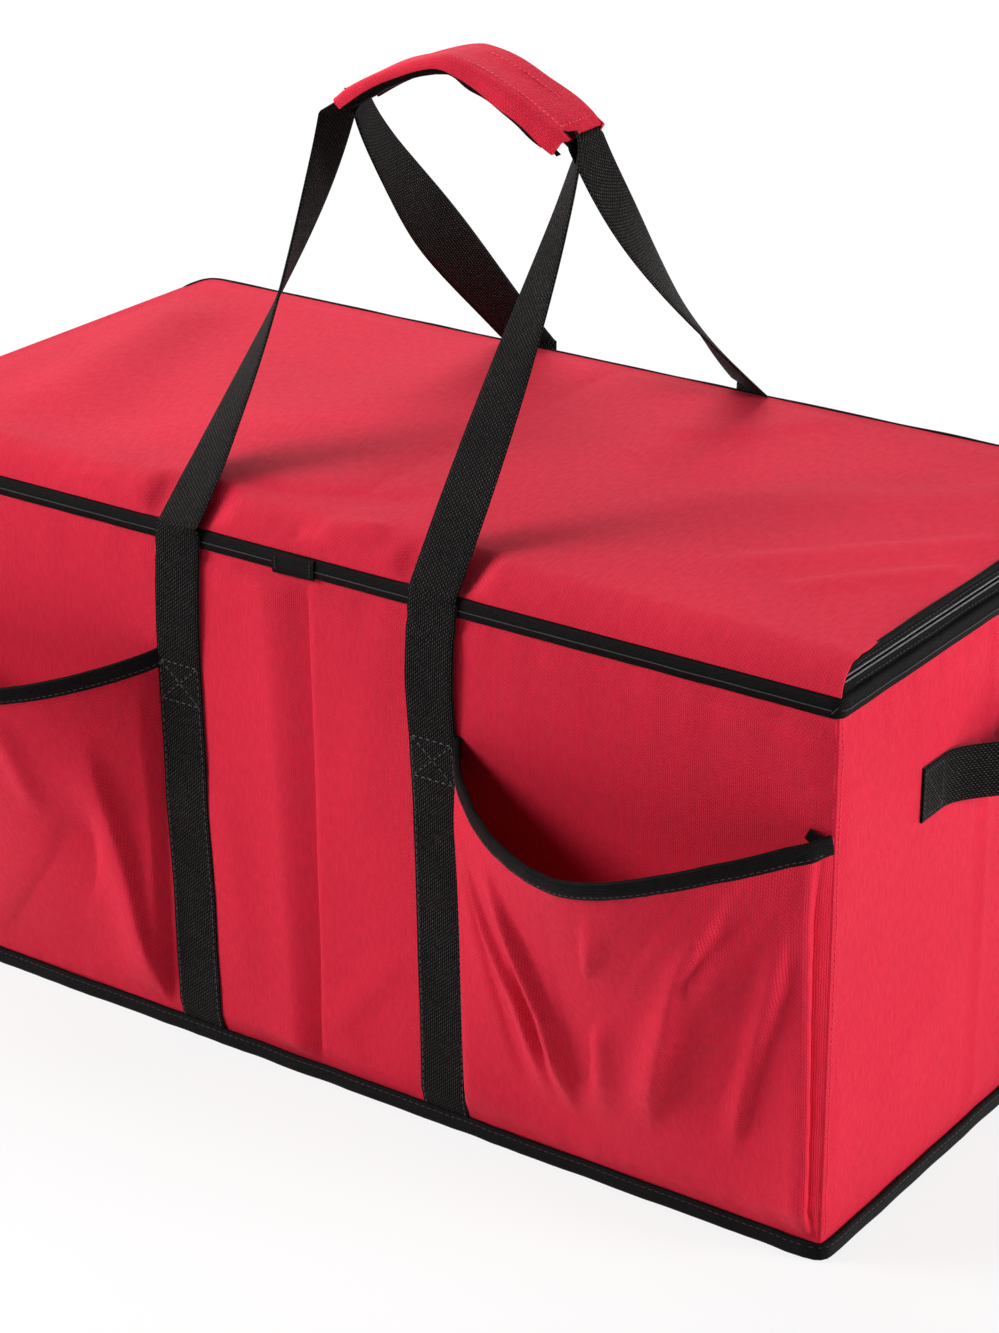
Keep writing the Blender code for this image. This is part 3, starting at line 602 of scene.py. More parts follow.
def webbing_material(name, deep, pale, row, column, roughness, relief):
    """Heavy webbing: rows of short floats, every second column set half a row on, each float with
    a painted glint along its top.
    """
    made, tree, shader = new_material(name)
    place, along, across = cloth_place(tree)
    columns = calc(tree, "DIVIDE", across, column)
    shift = calc(tree, "MULTIPLY", calc(tree, "MODULO", calc(tree, "FLOOR", columns), 2.0), 0.5)
    rows = calc(tree, "ADD", calc(tree, "DIVIDE", along, row), shift)
    float_long = calc(tree, "ABSOLUTE", calc(tree, "SINE", calc(tree, "MULTIPLY", rows, math.pi)))
    float_wide = calc(tree, "ABSOLUTE",
                      calc(tree, "SINE", calc(tree, "MULTIPLY", columns, math.pi)))
    hump_relief_and_light = calc(tree, "MULTIPLY", calc(tree, "POWER", float_long, 0.8),
                calc(tree, "POWER", float_wide, 1.6))
    thread = noise(tree, place, 900.0, 2.0, (0.4, 1.6, 1.0))
    glint_unevenness = noise(tree, solid_place(tree), 28.0, 4.0)
    # Painted highlight: a glint on the top of each float in the pale colour, made stronger and
    # weaker at random along the thread and over the webbing.
    glint = calc(tree, "POWER", hump_relief_and_light, 3.0)
    tone_and_painted_light = calc(tree, "MULTIPLY", glint, calc(tree, "MULTIPLY_ADD", thread, 2.4, -0.55))
    tone_and_painted_light = calc(tree, "MULTIPLY", tone_and_painted_light, spread(tree, glint_unevenness, 0.35, 1.45))
    clipped = calc(tree, "MINIMUM", calc(tree, "MAXIMUM", tone_and_painted_light, 0.0), 1.0)
    tree.links.new(blend_colours(tree, clipped, deep, pale), shader.inputs["Base Color"])
    rough = spread(tree, thread, roughness + 0.12, roughness - 0.14)
    tree.links.new(rough, shader.inputs["Roughness"])
    add_bump(tree, shader, calc(tree, "MULTIPLY_ADD", thread, 0.25, hump_relief_and_light), relief, 0.9)
    shader.inputs["Sheen Weight"].default_value = 0.01
    shader.inputs["Sheen Roughness"].default_value = 0.35
    shader.inputs["Specular IOR Level"].default_value = 0.035
    return made


def plain_material(name, deep, pale, scale, roughness, metallic, relief):
    """Moulded, painted or pressed stuff: a mottled tone and fine pits."""
    made, tree, shader = new_material(name)
    place = solid_place(tree)
    mottle = noise(tree, place, scale, 4.0)
    fine = noise(tree, place, scale * 9, 2.0)
    tree.links.new(blend_colours(tree, mottle, deep, pale), shader.inputs["Base Color"])
    tree.links.new(spread(tree, fine, roughness - 0.08, roughness + 0.10),
                   shader.inputs["Roughness"])
    add_bump(tree, shader, fine, relief, 0.4)
    shader.inputs["Metallic"].default_value = metallic
    return made


# The second colour of each woven finish is partly painted light: the red's pale end is reached on
# floats given painted sheen, and the lighter black of the webbing, binding and zipper tape is a
# painted glint on the floats.
RED_DEEP = (0.44, 0.009, 0.026)
RED_PALE = (0.86, 0.024, 0.064)
BLACK_DEEP = (0.0015, 0.0012, 0.0012)
BLACK_GLINT = (0.100, 0.094, 0.088)

red = cloth_material("red_woven_cloth", RED_DEEP, RED_PALE, 0.00110, 0.60, 0.05,
                     (1.0, 0.58, 0.68), 0.00030)
lining_red = cloth_material("red_lining_cloth", (0.40, 0.006, 0.013), (0.70, 0.020, 0.036),
                            0.00070, 0.55, 0.10, (1.0, 0.72, 0.78), 0.00014)
webbing = webbing_material("black_ribbed_webbing", BLACK_DEEP, BLACK_GLINT, 0.0022, 0.0013,
                           0.62, 0.00045)
binding = webbing_material("black_binding_tape", BLACK_DEEP, (0.034, 0.031, 0.029), 0.0011,
                           0.0009, 0.50, 0.00022)
zip_tape = webbing_material("black_zipper_tape", BLACK_DEEP, (0.026, 0.025, 0.025), 0.0012,
                            0.0008, 0.62, 0.00015)
coil = plain_material("black_zipper_coil", (0.030, 0.030, 0.031), (0.110, 0.110, 0.112),
                      160.0, 0.26, 0.0, 0.00002)
metal = plain_material("painted_zipper_metal", (0.05, 0.05, 0.055), (0.13, 0.13, 0.14),
                       220.0, 0.34, 0.9, 0.00002)
board = plain_material("stiffening_board", (0.26, 0.18, 0.11), (0.40, 0.30, 0.20),
                       60.0, 0.88, 0.0, 0.00010)
thread = plain_material("black_thread", (0.003, 0.003, 0.003), (0.022, 0.020, 0.019),
                        900.0, 0.42, 0.0, 0.00003)
red_thread = plain_material("red_thread", (0.52, 0.012, 0.026), (0.90, 0.050, 0.075),
                            900.0, 0.50, 0.0, 0.00003)


STITCH_PITCH = 0.0034
FLOOR_STITCH = 0.0040
RIM_STITCH = 0.0036
HANDLE_STITCH = 0.0030


def sew(name, places, out, pitch, slot, body="tote", **grain):
    """A row of stitches in the thread that goes with a finish."""
    stitches = stitch_run(name, places, out, pitch, red_thread if slot == "red_cloth" else thread,
                          **grain)
    dress(stitches, slot, body=body)


# The walls

CORNER_SEAM_INSET = CLOTH + 0.0006
CORNER_SEAM_HALF = 0.0009
CORNER_STEP = 0.006
SEAM_ROLL = 0.0008
SEAM_TURN = math.radians(135)
FRONT_SEAM_INSET = 0.0009
END_SEAM_INSET = 0.0001
PUCKER_REACH = 0.022
PUCKER_HEIGHT = 0.0006
FOLD_X = 0.0037
CREST_FOOT_X = -0.0105
CREST_TOP_X = -0.0240
CREST_HEIGHT = 0.0062
FOLD_FLANK = 0.0058
CREST_FALL = 0.034
LIP_HEIGHT = 0.0021
LIP_WIDTH = 0.0019
PRESS_HALF = 0.032
PRESS_EDGE = 0.014
HELD_FOOT = 0.170
HELD_HEAD = 0.262
HELD_FADE = 0.040


def wall_profile(half, inset, step):
    """Places across a wall and how far each lies in, with a rolled seam at both sides."""
    reach = SEAM_ROLL + inset
    straight = evenly(-half + reach, half - reach, step)
    turns = np.linspace(0, SEAM_TURN, 7)[1:]
    roll_along = SEAM_ROLL * np.sin(turns)
    roll_in = SEAM_ROLL * (1 - np.cos(turns))
    along = np.concatenate([-(half - reach + roll_along)[::-1], straight,
                            half - reach + roll_along])
    inward = np.concatenate([roll_in[::-1], np.zeros(len(straight)), roll_in])
    return along, inward


def puckers(s, z, half, seed):
    """Short ripples where the cloth is sewn in, along the rim, the floor and the corners."""
    top = np.exp(-(BODY_HEIGHT - RIM_BINDING_HEIGHT - z) / PUCKER_REACH)
    foot = np.exp(-(z - FLOOR_BINDING_HEIGHT) / PUCKER_REACH)
    side = np.exp(-(half - np.abs(s)) / (PUCKER_REACH * 0.5))
    rising = ripples(s, z * 0.15, 0.019, seed) * (top + 0.8 * foot)
    level = ripples(s * 0.3, z, 0.017, seed + 1) * side * (1 + 1.5 * top)
    return PUCKER_HEIGHT * (rising + level)


def pressed_fold(x, z):
    """The upright hinge of a long wall: a crest on its left that drops into the fold."""
    crest_x = CREST_FOOT_X + (CREST_TOP_X - CREST_FOOT_X) * z / BODY_HEIGHT
    before = np.exp(-np.maximum(crest_x - x, 0) / CREST_FALL)
    into = ease((FOLD_X - x) / np.maximum(FOLD_X - crest_x, FOLD_FLANK)) ** 0.6
    left = CREST_HEIGHT * np.where(x < crest_x, before, into)
    right = LIP_HEIGHT * ease((x - FOLD_X) / LIP_WIDTH)
    return np.where(x < FOLD_X, left, right)


FRONT_REST = 0.0006
END_REST = 0.0012
BACK_REST = 0.0012
BACK_FOLD_SHARE = 0.7
END_FOLD_HEIGHT = 0.0011
END_FOLD_WIDTH = 0.0028
END_GROOVE_HEIGHT = -0.0007
END_GROOVE_Y = -0.010
END_GROOVE_WIDTH = 0.006
SLACK_FADE = 0.012
PUCKER_FADE = 0.0035
CORNER_PINCH = 0.0014
CORNER_PINCH_REACH = 0.0035
FLOOR_CLOTH_STEP = 0.01

# Each crease: start, finish, width, height and, if it differs, the width of its other side
FRONT_CREASES = (
    ((0.062, 0.095), (0.006, 0.026), 0.007, 0.0016, 0.012),
    ((0.068, 0.060), (0.028, 0.020), 0.006, -0.0012),
    ((-0.062, 0.175), (-0.044, 0.030), 0.013, 0.0022, 0.022),
    ((0.055, 0.300), (0.030, 0.150), 0.014, 0.0009),
)
END_CREASES = (
    ((-0.140, 0.275), (-0.060, 0.250), 0.010, 0.0010),
    ((-0.110, 0.060), (-0.020, 0.110), 0.020, 0.0012),
)


def front_relief(x, z):
    """The front wall: its hinge fold and the slack of the cloth beside it."""
    slack = uneven("front_slack", x, z)
    slack = creased(slack, x, z, FRONT_CREASES)
    return FRONT_REST + pressed_fold(x, z) + np.maximum(slack, -FRONT_REST)


def end_relief(y, z):
    """An end wall: a flat-felled fold seam at the middle and soft slack either side."""
    fold = END_FOLD_HEIGHT * np.exp(-np.abs(y) / END_FOLD_WIDTH)
    fold = fold + END_GROOVE_HEIGHT * np.exp(-((y - END_GROOVE_Y) / END_GROOVE_WIDTH) ** 2)
    slack = uneven("end_slack", y, z)
    slack = creased(slack, y, z, END_CREASES)
    return END_REST + fold + slack


def back_relief(x, z):
    """The back wall: slack, but held flat where the straps' seams end and the loop hinges."""
    loose = BACK_REST + BACK_FOLD_SHARE * pressed_fold(x, z) + uneven("back_slack", x, z)
    held = ease((PRESS_HALF - np.abs(np.abs(x) - BACK_STRAP_OFFSET)) / PRESS_EDGE)
    held = held * ease((z - HELD_FOOT) / HELD_FADE) * ease((HELD_HEAD - z) / PRESS_EDGE)
    return loose * (1 - held)


def wall_out(relief, s, z, half, seed):
    """How far the wall's cloth stands out: nothing under a binding or in a corner seam."""
    under_rim = BODY_HEIGHT - RIM_BINDING_HEIGHT - z
    over_floor = z - FLOOR_BINDING_HEIGHT
    edge = np.minimum(half - np.abs(s), np.minimum(under_rim, over_floor))
    return np.maximum(relief(s, z) * ease(edge / SLACK_FADE)
                      + puckers(s, z, half, seed) * ease(edge / PUCKER_FADE), 0.0)


def wall_points(relief, half, other, inset, seed, turn):
    """The grid of a wall's middle surface; turn carries (along, out) to x and y."""
    along, inward = wall_profile(half, inset, CLOTH_STEP)
    heights = evenly(WALL_FOOT, WALL_TOP, CLOTH_STEP)
    s, z = np.meshgrid(along, heights)
    out = other - CLOTH / 2 - inward[None, :] + wall_out(relief, s, z, half, seed)
    bound = ease((z - BODY_HEIGHT + RIM_BINDING_HEIGHT - 0.001) / 0.003)
    pinch = CORNER_PINCH * bound * np.exp(-(half - np.abs(s)) / CORNER_PINCH_REACH)
    out, s = out - pinch, s - np.sign(s) * pinch
    (ax, ay), (bx, by) = turn
    return np.stack([s * ax + out * bx, s * ay + out * by, z], -1)


WALLS = {
    "front": (front_relief, HALF_WIDTH, HALF_DEPTH, FRONT_SEAM_INSET, 21, ((1, 0), (0, -1))),
    "right_end": (end_relief, HALF_DEPTH, HALF_WIDTH, END_SEAM_INSET, 31, ((0, 1), (1, 0))),
    "back": (back_relief, HALF_WIDTH, HALF_DEPTH, FRONT_SEAM_INSET, 41, ((-1, 0), (0, 1))),
    "left_end": (end_relief, HALF_DEPTH, HALF_WIDTH, END_SEAM_INSET, 51, ((0, -1), (-1, 0))),
}


def make_walls():
    """The cloth of the four walls, their corner seams and the floor's cloth."""
    for name, (relief, half, other, inset, seed, turn) in WALLS.items():
        points = wall_points(relief, half, other, inset, seed, turn)
        cloth = slab(f"{name}_cloth", points, CLOTH, red)
        dress(cloth, "red_cloth", f"{name}_panel", body="tote")
    make_corner_seams()

    x, y = np.meshgrid(evenly(-HALF_WIDTH + MM, HALF_WIDTH - MM, FLOOR_CLOTH_STEP),
                       evenly(-HALF_DEPTH + MM, HALF_DEPTH - MM, FLOOR_CLOTH_STEP))
    sag = uneven("floor_cloth", x, y)
    points = np.stack([x, -y, CLOTH / 2 + 0.0003 + sag], -1)
    dress(slab("bottom_cloth", points, CLOTH * 0.8, red), "red_cloth", "bottom_panel",
          body="tote")


def make_corner_seams():
    """The allowance inside each upright corner and the stitches that hold it."""
    for side_x, side_y in ((-1, -1), (1, -1), (1, 1), (-1, 1)):
        heights = evenly(WALL_FOOT, WALL_TOP, CORNER_STEP)
        places = upright(side_x * (HALF_WIDTH - CORNER_SEAM_INSET),
                         side_y * (HALF_DEPTH - CORNER_SEAM_INSET), heights)
        end, wall = "left" if side_x < 0 else "right", "front" if side_y < 0 else "back"
        name = f"corner_seam_{end}_{wall}"
        seam = sweep(name, places, X_AXIS, Y_AXIS, oval(CORNER_SEAM_HALF, CORNER_SEAM_HALF, 10),
                     red)
        dress(seam, "red_cloth", body="tote")
        line = upright(side_x * (HALF_WIDTH + 0.0001), side_y * (HALF_DEPTH - 0.0030),
                       heights)[2:-2]
        line[:, 0] += side_x * wall_out(end_relief, side_x * line[:, 1], line[:, 2], HALF_DEPTH,
                                        31 if side_x > 0 else 51)
        sew(f"{name}_stitches", line, X_AXIS * side_x, STITCH_PITCH, "red_cloth")


# The bound seams

FLOOR_CORNER = 0.006
FLOOR_STITCH_HEIGHT = 0.0078
RIM_CORNER = 0.0042
RIM_ROUND = 0.0016
ZIGZAG_LOW = 0.0022
ZIGZAG_HIGH = 0.0068
ZIGZAG_STAND = 0.0006
INNER_STITCH_HEIGHT = 0.0020


def make_floor_binding():
    """The tape round the floor seam, with its stitches."""
    places, out = ring(FLOOR_CORNER, 0, BINDING_STEP)
    far = distances(places)
    wave = ripples(far, 0, 0.055, 61)
    lift = uneven("floor_binding", far, 0)
    places = places + out * (0.0003 * wave)[:, None] + UP * np.abs(lift)[:, None]
    middle = GAP + FLOOR_BINDING_THICKNESS / 2
    half = FLOOR_BINDING_THICKNESS / 2
    turns = np.linspace(0, 2 * math.pi, 18, endpoint=False)
    round_out = np.sign(np.cos(turns)) * np.abs(np.cos(turns)) ** 0.7 * half
    round_up = np.sign(np.sin(turns)) * np.abs(np.sin(turns)) ** 0.45
    section = np.stack([middle + round_out, FLOOR_BINDING_HEIGHT / 2 * (1 + round_up)], -1)
    floor = sweep("floor_binding", places, out, UP, section, binding, closed=True)
    dress(floor, "black_binding", "bottom_binding", body="tote")
    stitched = places + UP * FLOOR_STITCH_HEIGHT + out * (GAP + FLOOR_BINDING_THICKNESS * 0.96)
    sew("floor_binding_stitches", stitched, out, FLOOR_STITCH, "black_binding")


def make_rim_binding():
    """The tape folded over the rim, with its stitches and its lapped end."""
    places, out = ring(RIM_CORNER, 0, BINDING_STEP)
    far = distances(places)
    wave = uneven("rim_binding", far, 0)
    places = places + out * wave[:, None]
    foot = BODY_HEIGHT - RIM_BINDING_HEIGHT
    half = RIM_BINDING_THICKNESS / 2
    outer, inner = GAP + half, -WALL_STACK - GAP - half
    top = BODY_HEIGHT - half
    route = rounded_route([(outer, foot + half), (outer + 0.0006, foot + 0.005),
                           (outer, top), (inner, top), (inner, foot + half)], RIM_ROUND)
    section = folded(route, RIM_BINDING_THICKNESS)
    rim = sweep("rim_binding", places, out, UP, section, binding, closed=True)
    dress(rim, "black_binding", "top_binding", body="tote")
    zigzag, zigzag_out = zigzag_route(places, out, foot + ZIGZAG_LOW, foot + ZIGZAG_HIGH,
                                      RIM_OUT + ZIGZAG_STAND)
    sew("rim_binding_outer_stitches", zigzag, zigzag_out, None, "black_binding",
        length_share=0.86, width=0.0007, height=0.0004)
    stitched = (places + UP * (foot + INNER_STITCH_HEIGHT)
                - out * (WALL_STACK + GAP + RIM_BINDING_THICKNESS))
    sew("rim_binding_inner_stitches", stitched, -out, RIM_STITCH, "black_binding")
    make_rim_overlap(foot, outer)


ZIGZAG_PITCH = 0.0030
OVERLAP_LEFT = -0.0185
OVERLAP_RIGHT = 0.0085


def zigzag_route(places, out, low, high, stand):
    """Places that climb and fall across a tape all the way round it."""
    ends = np.concatenate([places, places[:1]])
    far = distances(ends)
    count = 2 * int(far[-1] / ZIGZAG_PITCH / 2)
    wanted = np.linspace(0, far[-1], count)
    route = along_route(ends, far, wanted)
    facing = unit(along_route(np.concatenate([out, out[:1]]), far, wanted))
    heights = np.where(np.arange(count) % 2 == 0, low, high)
    return route + facing * stand + UP * heights[:, None], facing


def make_rim_overlap(foot, outer):
    """The end of the rim tape, lapped over its start beside the fold at the front."""
    x = evenly(OVERLAP_LEFT, OVERLAP_RIGHT, BINDING_STEP)
    share = (x - OVERLAP_LEFT) / (OVERLAP_RIGHT - OVERLAP_LEFT)
    droop = -0.0008 * (1 - share) - 0.0002
    places = np.stack([x, np.full_like(x, -HALF_DEPTH), droop], -1)
    stand = outer + RIM_BINDING_THICKNESS + 0.0002
    route = rounded_route([(stand, foot), (stand + 0.0004, foot + 0.004),
                           (stand, BODY_HEIGHT - 0.0004), (-0.0010, BODY_HEIGHT - 0.0004)],
                          0.0016)
    section = folded(route, RIM_BINDING_THICKNESS * 0.8)
    lap = sweep("rim_binding_overlap", places, -Y_AXIS, UP, section, binding)
    dress(lap, "black_binding", body="tote")
    for name, x_at in (("left", OVERLAP_LEFT + 0.0022), ("right", OVERLAP_RIGHT - 0.0022)):
        heights = np.linspace(foot + 0.0010, BODY_HEIGHT - 0.0022, 5)
        line = upright(x_at, -HALF_DEPTH - stand - 0.0009, heights)
        sew(f"rim_overlap_stitches_{name}", line, -Y_AXIS, None, "black_binding",
            width=0.0007, height=0.0004)


# The lid

LID_COLUMN_STEP = 0.0035
LID_CORNER = 0.012
LID_LINING_STEP = 0.004
PRESS_REACH = 0.0215
# Each fold of the lid: four places, the widths of its two sides and its height
LID_SLACK = (
    ((-0.228, -0.125), (-0.243, -0.060), (-0.262, 0.030), (-0.285, 0.120), 0.024, 0.030, 0.0052),
    ((-0.160, -0.120), (-0.190, -0.050), (-0.236, 0.060), (-0.250, 0.125), 0.026, 0.026, -0.0026),
    ((-0.130, -0.110), (-0.080, 0.000), (-0.060, 0.110), (-0.050, 0.140), 0.040, 0.030, 0.0026),
    ((-0.075, -0.128), (-0.030, -0.122), (0.010, -0.104), (0.045, -0.088), 0.010, 0.016, -0.0026),
    ((0.312, 0.040), (0.280, 0.000), (0.240, -0.045), (0.195, -0.088), 0.016, 0.007, 0.0026),
    ((0.318, -0.004), (0.298, -0.030), (0.272, -0.060), (0.240, -0.096), 0.011, 0.005, 0.0024),
    ((0.312, 0.120), (0.250, 0.060), (0.180, 0.010), (0.120, -0.040), 0.026, 0.014, 0.0022),
    ((0.150, 0.148), (0.135, 0.120), (0.110, 0.085), (0.070, 0.050), 0.010, 0.020, 0.0016),
    ((0.030, 0.150), (0.045, 0.110), (0.075, 0.060), (0.110, 0.010), 0.020, 0.030, 0.0020),
)
ROLL_CREASES = (
    ((-0.050, -0.118), (0.006, -0.152), 0.0050, -0.0034, 0.011),
    ((0.004, -0.151), (0.046, -0.134), 0.0090, 0.0030, 0.006),
    ((0.036, -0.151), (0.064, -0.128), 0.007, -0.0012, 0.010),
)


def lid_relief(x, y):
    """The height of the lid cloth over its flat place: crown, folds and slack."""
    across = np.clip((x + HALF_WIDTH) / BODY_WIDTH, 0, 1)
    deep = np.clip((y + HALF_DEPTH) / BODY_DEPTH, 0, 1)
    crown = LID_CROWN * np.sin(math.pi * across) * np.sin(math.pi * deep)
    fold = -0.0030 * np.exp(-np.abs(x) / 0.009) * (0.5 + 0.5 * np.exp(-deep / 0.25))
    fold += crease(x, y, (-0.002, -0.100), (-0.001, -0.020), 0.0014, 0.0008)
    soft = 0.0011 + uneven("lid_slack", x, y * 1.4)
    for *route, width, other_width, height in LID_SLACK:
        soft = soft + fold_line(x, y, route, width, height, other_width)
    edge = np.minimum(HALF_WIDTH - np.abs(x), HALF_DEPTH - y)
    return soft_floor((crown + fold + soft) * ease(edge / 0.022), 0.0005)


def rounded_corners(x, y):
    """The same places with the two back corners of the lid turned on a small radius."""
    beyond_x = np.abs(x) - (HALF_WIDTH - LID_CORNER)
    beyond_y = y - (HALF_DEPTH - LID_CORNER)
    inside = (beyond_x > 0) & (beyond_y > 0)
    reach = np.maximum(np.hypot(beyond_x, beyond_y), 1e-9)
    share = np.where(inside, np.maximum(beyond_x, beyond_y) / reach, 1.0)
    x = np.where(inside, np.sign(x) * (HALF_WIDTH - LID_CORNER + beyond_x * share), x)
    y = np.where(inside, HALF_DEPTH - LID_CORNER + beyond_y * share, y)
    return x, y


def lid_roll(y):
    """The height of the lid's middle surface where it rolls up from the front rim."""
    front = -HALF_DEPTH + CLOTH / 2
    foot = BODY_HEIGHT + GAP
    top = LID_FOOT + CLOTH / 2
    turn = np.arccos(np.clip(1 - (y - front) / LID_CURL, 0, 1))
    return foot + (top - foot) * np.sin(turn)


def pressed_roll(x, y):
    """The lid's roll, pulled flat under the two front straps."""
    rolled = lid_roll(y)
    front = -HALF_DEPTH + CLOTH / 2
    foot, top = BODY_HEIGHT + GAP, LID_FOOT + CLOTH / 2
    slope = foot + (top - foot) * np.clip((y - front) / PRESS_REACH, 0, 1)
    left = ease((PRESS_HALF - np.abs(x - LEFT_LOOP_X)) / PRESS_EDGE)
    right = ease((PRESS_HALF - np.abs(x - STRAP_OFFSET)) / PRESS_EDGE)
    return rolled + (np.minimum(rolled, slope) - rolled) * np.maximum(left, right)


def lid_grid():
    """The middle of the lid cloth: it rolls up from the front rim, then runs back."""
    front = -HALF_DEPTH + CLOTH / 2
    turns = np.linspace(0, math.pi / 2, 12)
    roll_y = front + LID_CURL * (1 - np.cos(turns))
    back_y = evenly(front + LID_CURL, HALF_DEPTH, LID_COLUMN_STEP)[1:]
    y = np.concatenate([roll_y, back_y])
    x = evenly(-HALF_WIDTH, HALF_WIDTH, LID_COLUMN_STEP)
    x, y = np.meshgrid(x, y)
    rise = lid_relief(x, y) * ease((y - front) / LID_CURL)
    held = ease((y - front) / 0.004)
    gather = uneven("roll_gather", x, y * 0.2) * np.exp(-(y - front) / 0.014)
    corner = np.exp(-(HALF_WIDTH - np.abs(x)) / 0.012) * np.exp(-(y - front) / 0.012)
    gather += uneven("roll_corner", x, y) * corner
    rise = rise + gather * held
    rise = creased(rise, x, y, ROLL_CREASES, held)
    over_board = ease((y - front - LID_CURL * 0.5) / (LID_CURL * 0.5))
    rise = rise * (1 - over_board) + soft_floor(rise, 0.0004) * over_board
    z = pressed_roll(x, y) + rise
    x, y = rounded_corners(x, y)
    return np.stack([x, y, z], -1)


def make_lid():
    """The lid's cloth, which rolls up from the front rim, its edge tape and its lining."""
    points = lid_grid()
    cover = slab("lid_cloth", points, CLOTH, red)
    dress(cover, "red_cloth", "lid_panel",
          blended=("tote", "lid", (0, -HALF_DEPTH, BODY_HEIGHT),
                   (0, -HALF_DEPTH + 0.0125, LID_FOOT - MM)))
    make_lid_edge()
    board_top = LID_FOOT - GAP
    front = -HALF_DEPTH + LID_BOARD_FRONT_INSET
    lining_top = board_top - BOARD - GAP
    outer = HALF_WIDTH - LID_BOARD_INSET
    back = HALF_DEPTH - LID_BOARD_INSET
    x, y = np.meshgrid(evenly(-outer, outer, LID_LINING_STEP),
                       evenly(front, back, LID_LINING_STEP))
    sag = 0.0005 * (1 + ripples(x, y, 0.06, 75)) + 0.0012 * np.exp(-np.abs(x) / 0.005)
    edge = np.minimum(outer - np.abs(x), np.minimum(y - front, back - y))
    z = lining_top - LINING / 2 - sag * ease(edge / 0.02)
    points = np.stack([x, front + back - y, z], -1)
    dress(slab("lid_lining_cloth", points, LINING, lining_red), "red_cloth", "lid_lining",
          body="lid")


LID_EDGE_HIGH = 0.0010
LID_EDGE_LOW = -0.0016
LID_EDGE_START = 0.0075
LID_EDGE_HALF_WIDTH = 0.0011
LID_EDGE_HALF_HEIGHT = 0.0012


def make_lid_edge():
    """The tape turned over the lid's back and right edges; on the left it is pulled under."""
    places, out = zip_route(0, BINDING_STEP)
    keep = places[:, 1] > -HALF_DEPTH + LID_EDGE_START
    places, out = places[keep], out[keep]
    on_left = ease((0.134 - places[:, 1]) / 0.020) * (places[:, 0] < -HALF_WIDTH + 0.02)
    at_front = ease((-HALF_DEPTH + 0.040 - places[:, 1]) / 0.024)
    height = LID_FOOT + LID_EDGE_HIGH + (LID_EDGE_LOW - LID_EDGE_HIGH) * np.maximum(on_left,
                                                                                 at_front)
    in_roll = places[:, 1] < -HALF_DEPTH + LID_CURL
    under_roll = np.minimum(height, lid_roll(places[:, 1]) - CLOTH / 2 - 0.0002)
    height = np.where(in_roll, under_roll, height)
    height = height + uneven("lid_edge", distances(places), 0)
    places = places + UP * height[:, None] - out * 0.0006
    section = oval(LID_EDGE_HALF_WIDTH, LID_EDGE_HALF_HEIGHT, 12)
    edge = sweep("lid_edge_tape", places, out, UP, section, zip_tape)
    dress(edge, "zipper_coil", body="lid")


# The zipper

COIL_PITCH = 0.0015
COIL_STATIONS = 6


def make_zipper():
    """The lower and upper half of the zipper: a tape, its stitches and a coil each."""
    rows = (("lower", "tote", LOWER_TAPE_FOOT, LOWER_TAPE_HEIGHT, LOWER_CHAIN_FOOT),
            ("upper", "lid", UPPER_TAPE_FOOT, UPPER_TAPE_HEIGHT, UPPER_CHAIN_FOOT))
    for name, body, tape_foot, tape_height, chain_foot in rows:
        places, out = zip_route(0, BINDING_STEP)
        far = distances(places)
        wave = uneven("zipper_tape", far, 0)
        places = places + out * wave[:, None]
        middle = -TAPE_INSET
        route = [(middle, 0.0), (middle + 0.0003, 0.5), (middle, 1.0)]
        flat = spaced(route, 0.12)
        roof = lid_roll(places[:, 1]) - CLOTH
        head = np.minimum(tape_foot + tape_height, roof) - 0.0003
        foot = np.minimum(tape_foot, head - 0.0012) + 0.0003
        sections = []
        for low, high in zip(foot, head):
            standing = np.stack([flat[:, 0], low + flat[:, 1] * (high - low)], -1)
            sections.append(folded(standing, TAPE_THICKNESS))
        tape = sweep(f"zipper_tape_{name}_cloth", places, out, UP, np.array(sections), zip_tape)
        dress(tape, "zipper_coil", f"zipper_tape_{name}", body=body)
        stitched = places + UP * ((foot + head) / 2)[:, None]
        stitched = stitched + out * (middle + TAPE_THICKNESS / 2 + 0.0004)
        sew(f"zipper_tape_{name}_stitches", stitched[4:-4], out[4:-4], STITCH_PITCH,
            "zipper_coil", body)

        places, out = zip_route(chain_foot + CHAIN_HEIGHT / 2, COIL_PITCH / COIL_STATIONS)
        phase = np.arange(len(places)) * (2 * math.pi / COIL_STATIONS)
        swell = 0.80 + 0.20 * np.cos(phase)
        sections = oval(CHAIN_THICKNESS / 2, CHAIN_HEIGHT / 2, 8)[None] * swell[:, None, None]
        sections[..., 0] -= TAPE_INSET
        chain = sweep(f"zipper_coil_{name}", places, out, UP, sections, coil)
        dress(chain, "zipper_coil", f"zipper_chain_{name}", body=body)


# The webbing

def arch_place(share, lift):
    """Places on the grip's arch, lifted square to it; share runs 0 to 1, left to right."""
    def middle(part):
        """Places on the arch itself."""
        x = GRIP_SIDEWAYS + (part - 0.5) * GRIP_LENGTH
        rise = 1 - np.abs(2 * part - 1) ** ARCH_ROUNDNESS
        return np.stack([x, np.full_like(x, -GRIP_FORWARD),
                         GRIP_END_HEIGHT + GRIP_RISE * rise], -1)
    step = 0.018
    share = np.atleast_1d(np.asarray(share, float))
    run = unit(middle(share + step) - middle(share - step))
    up = -np.cross(Y_AXIS, run)
    return middle(share) + up * lift, run, up


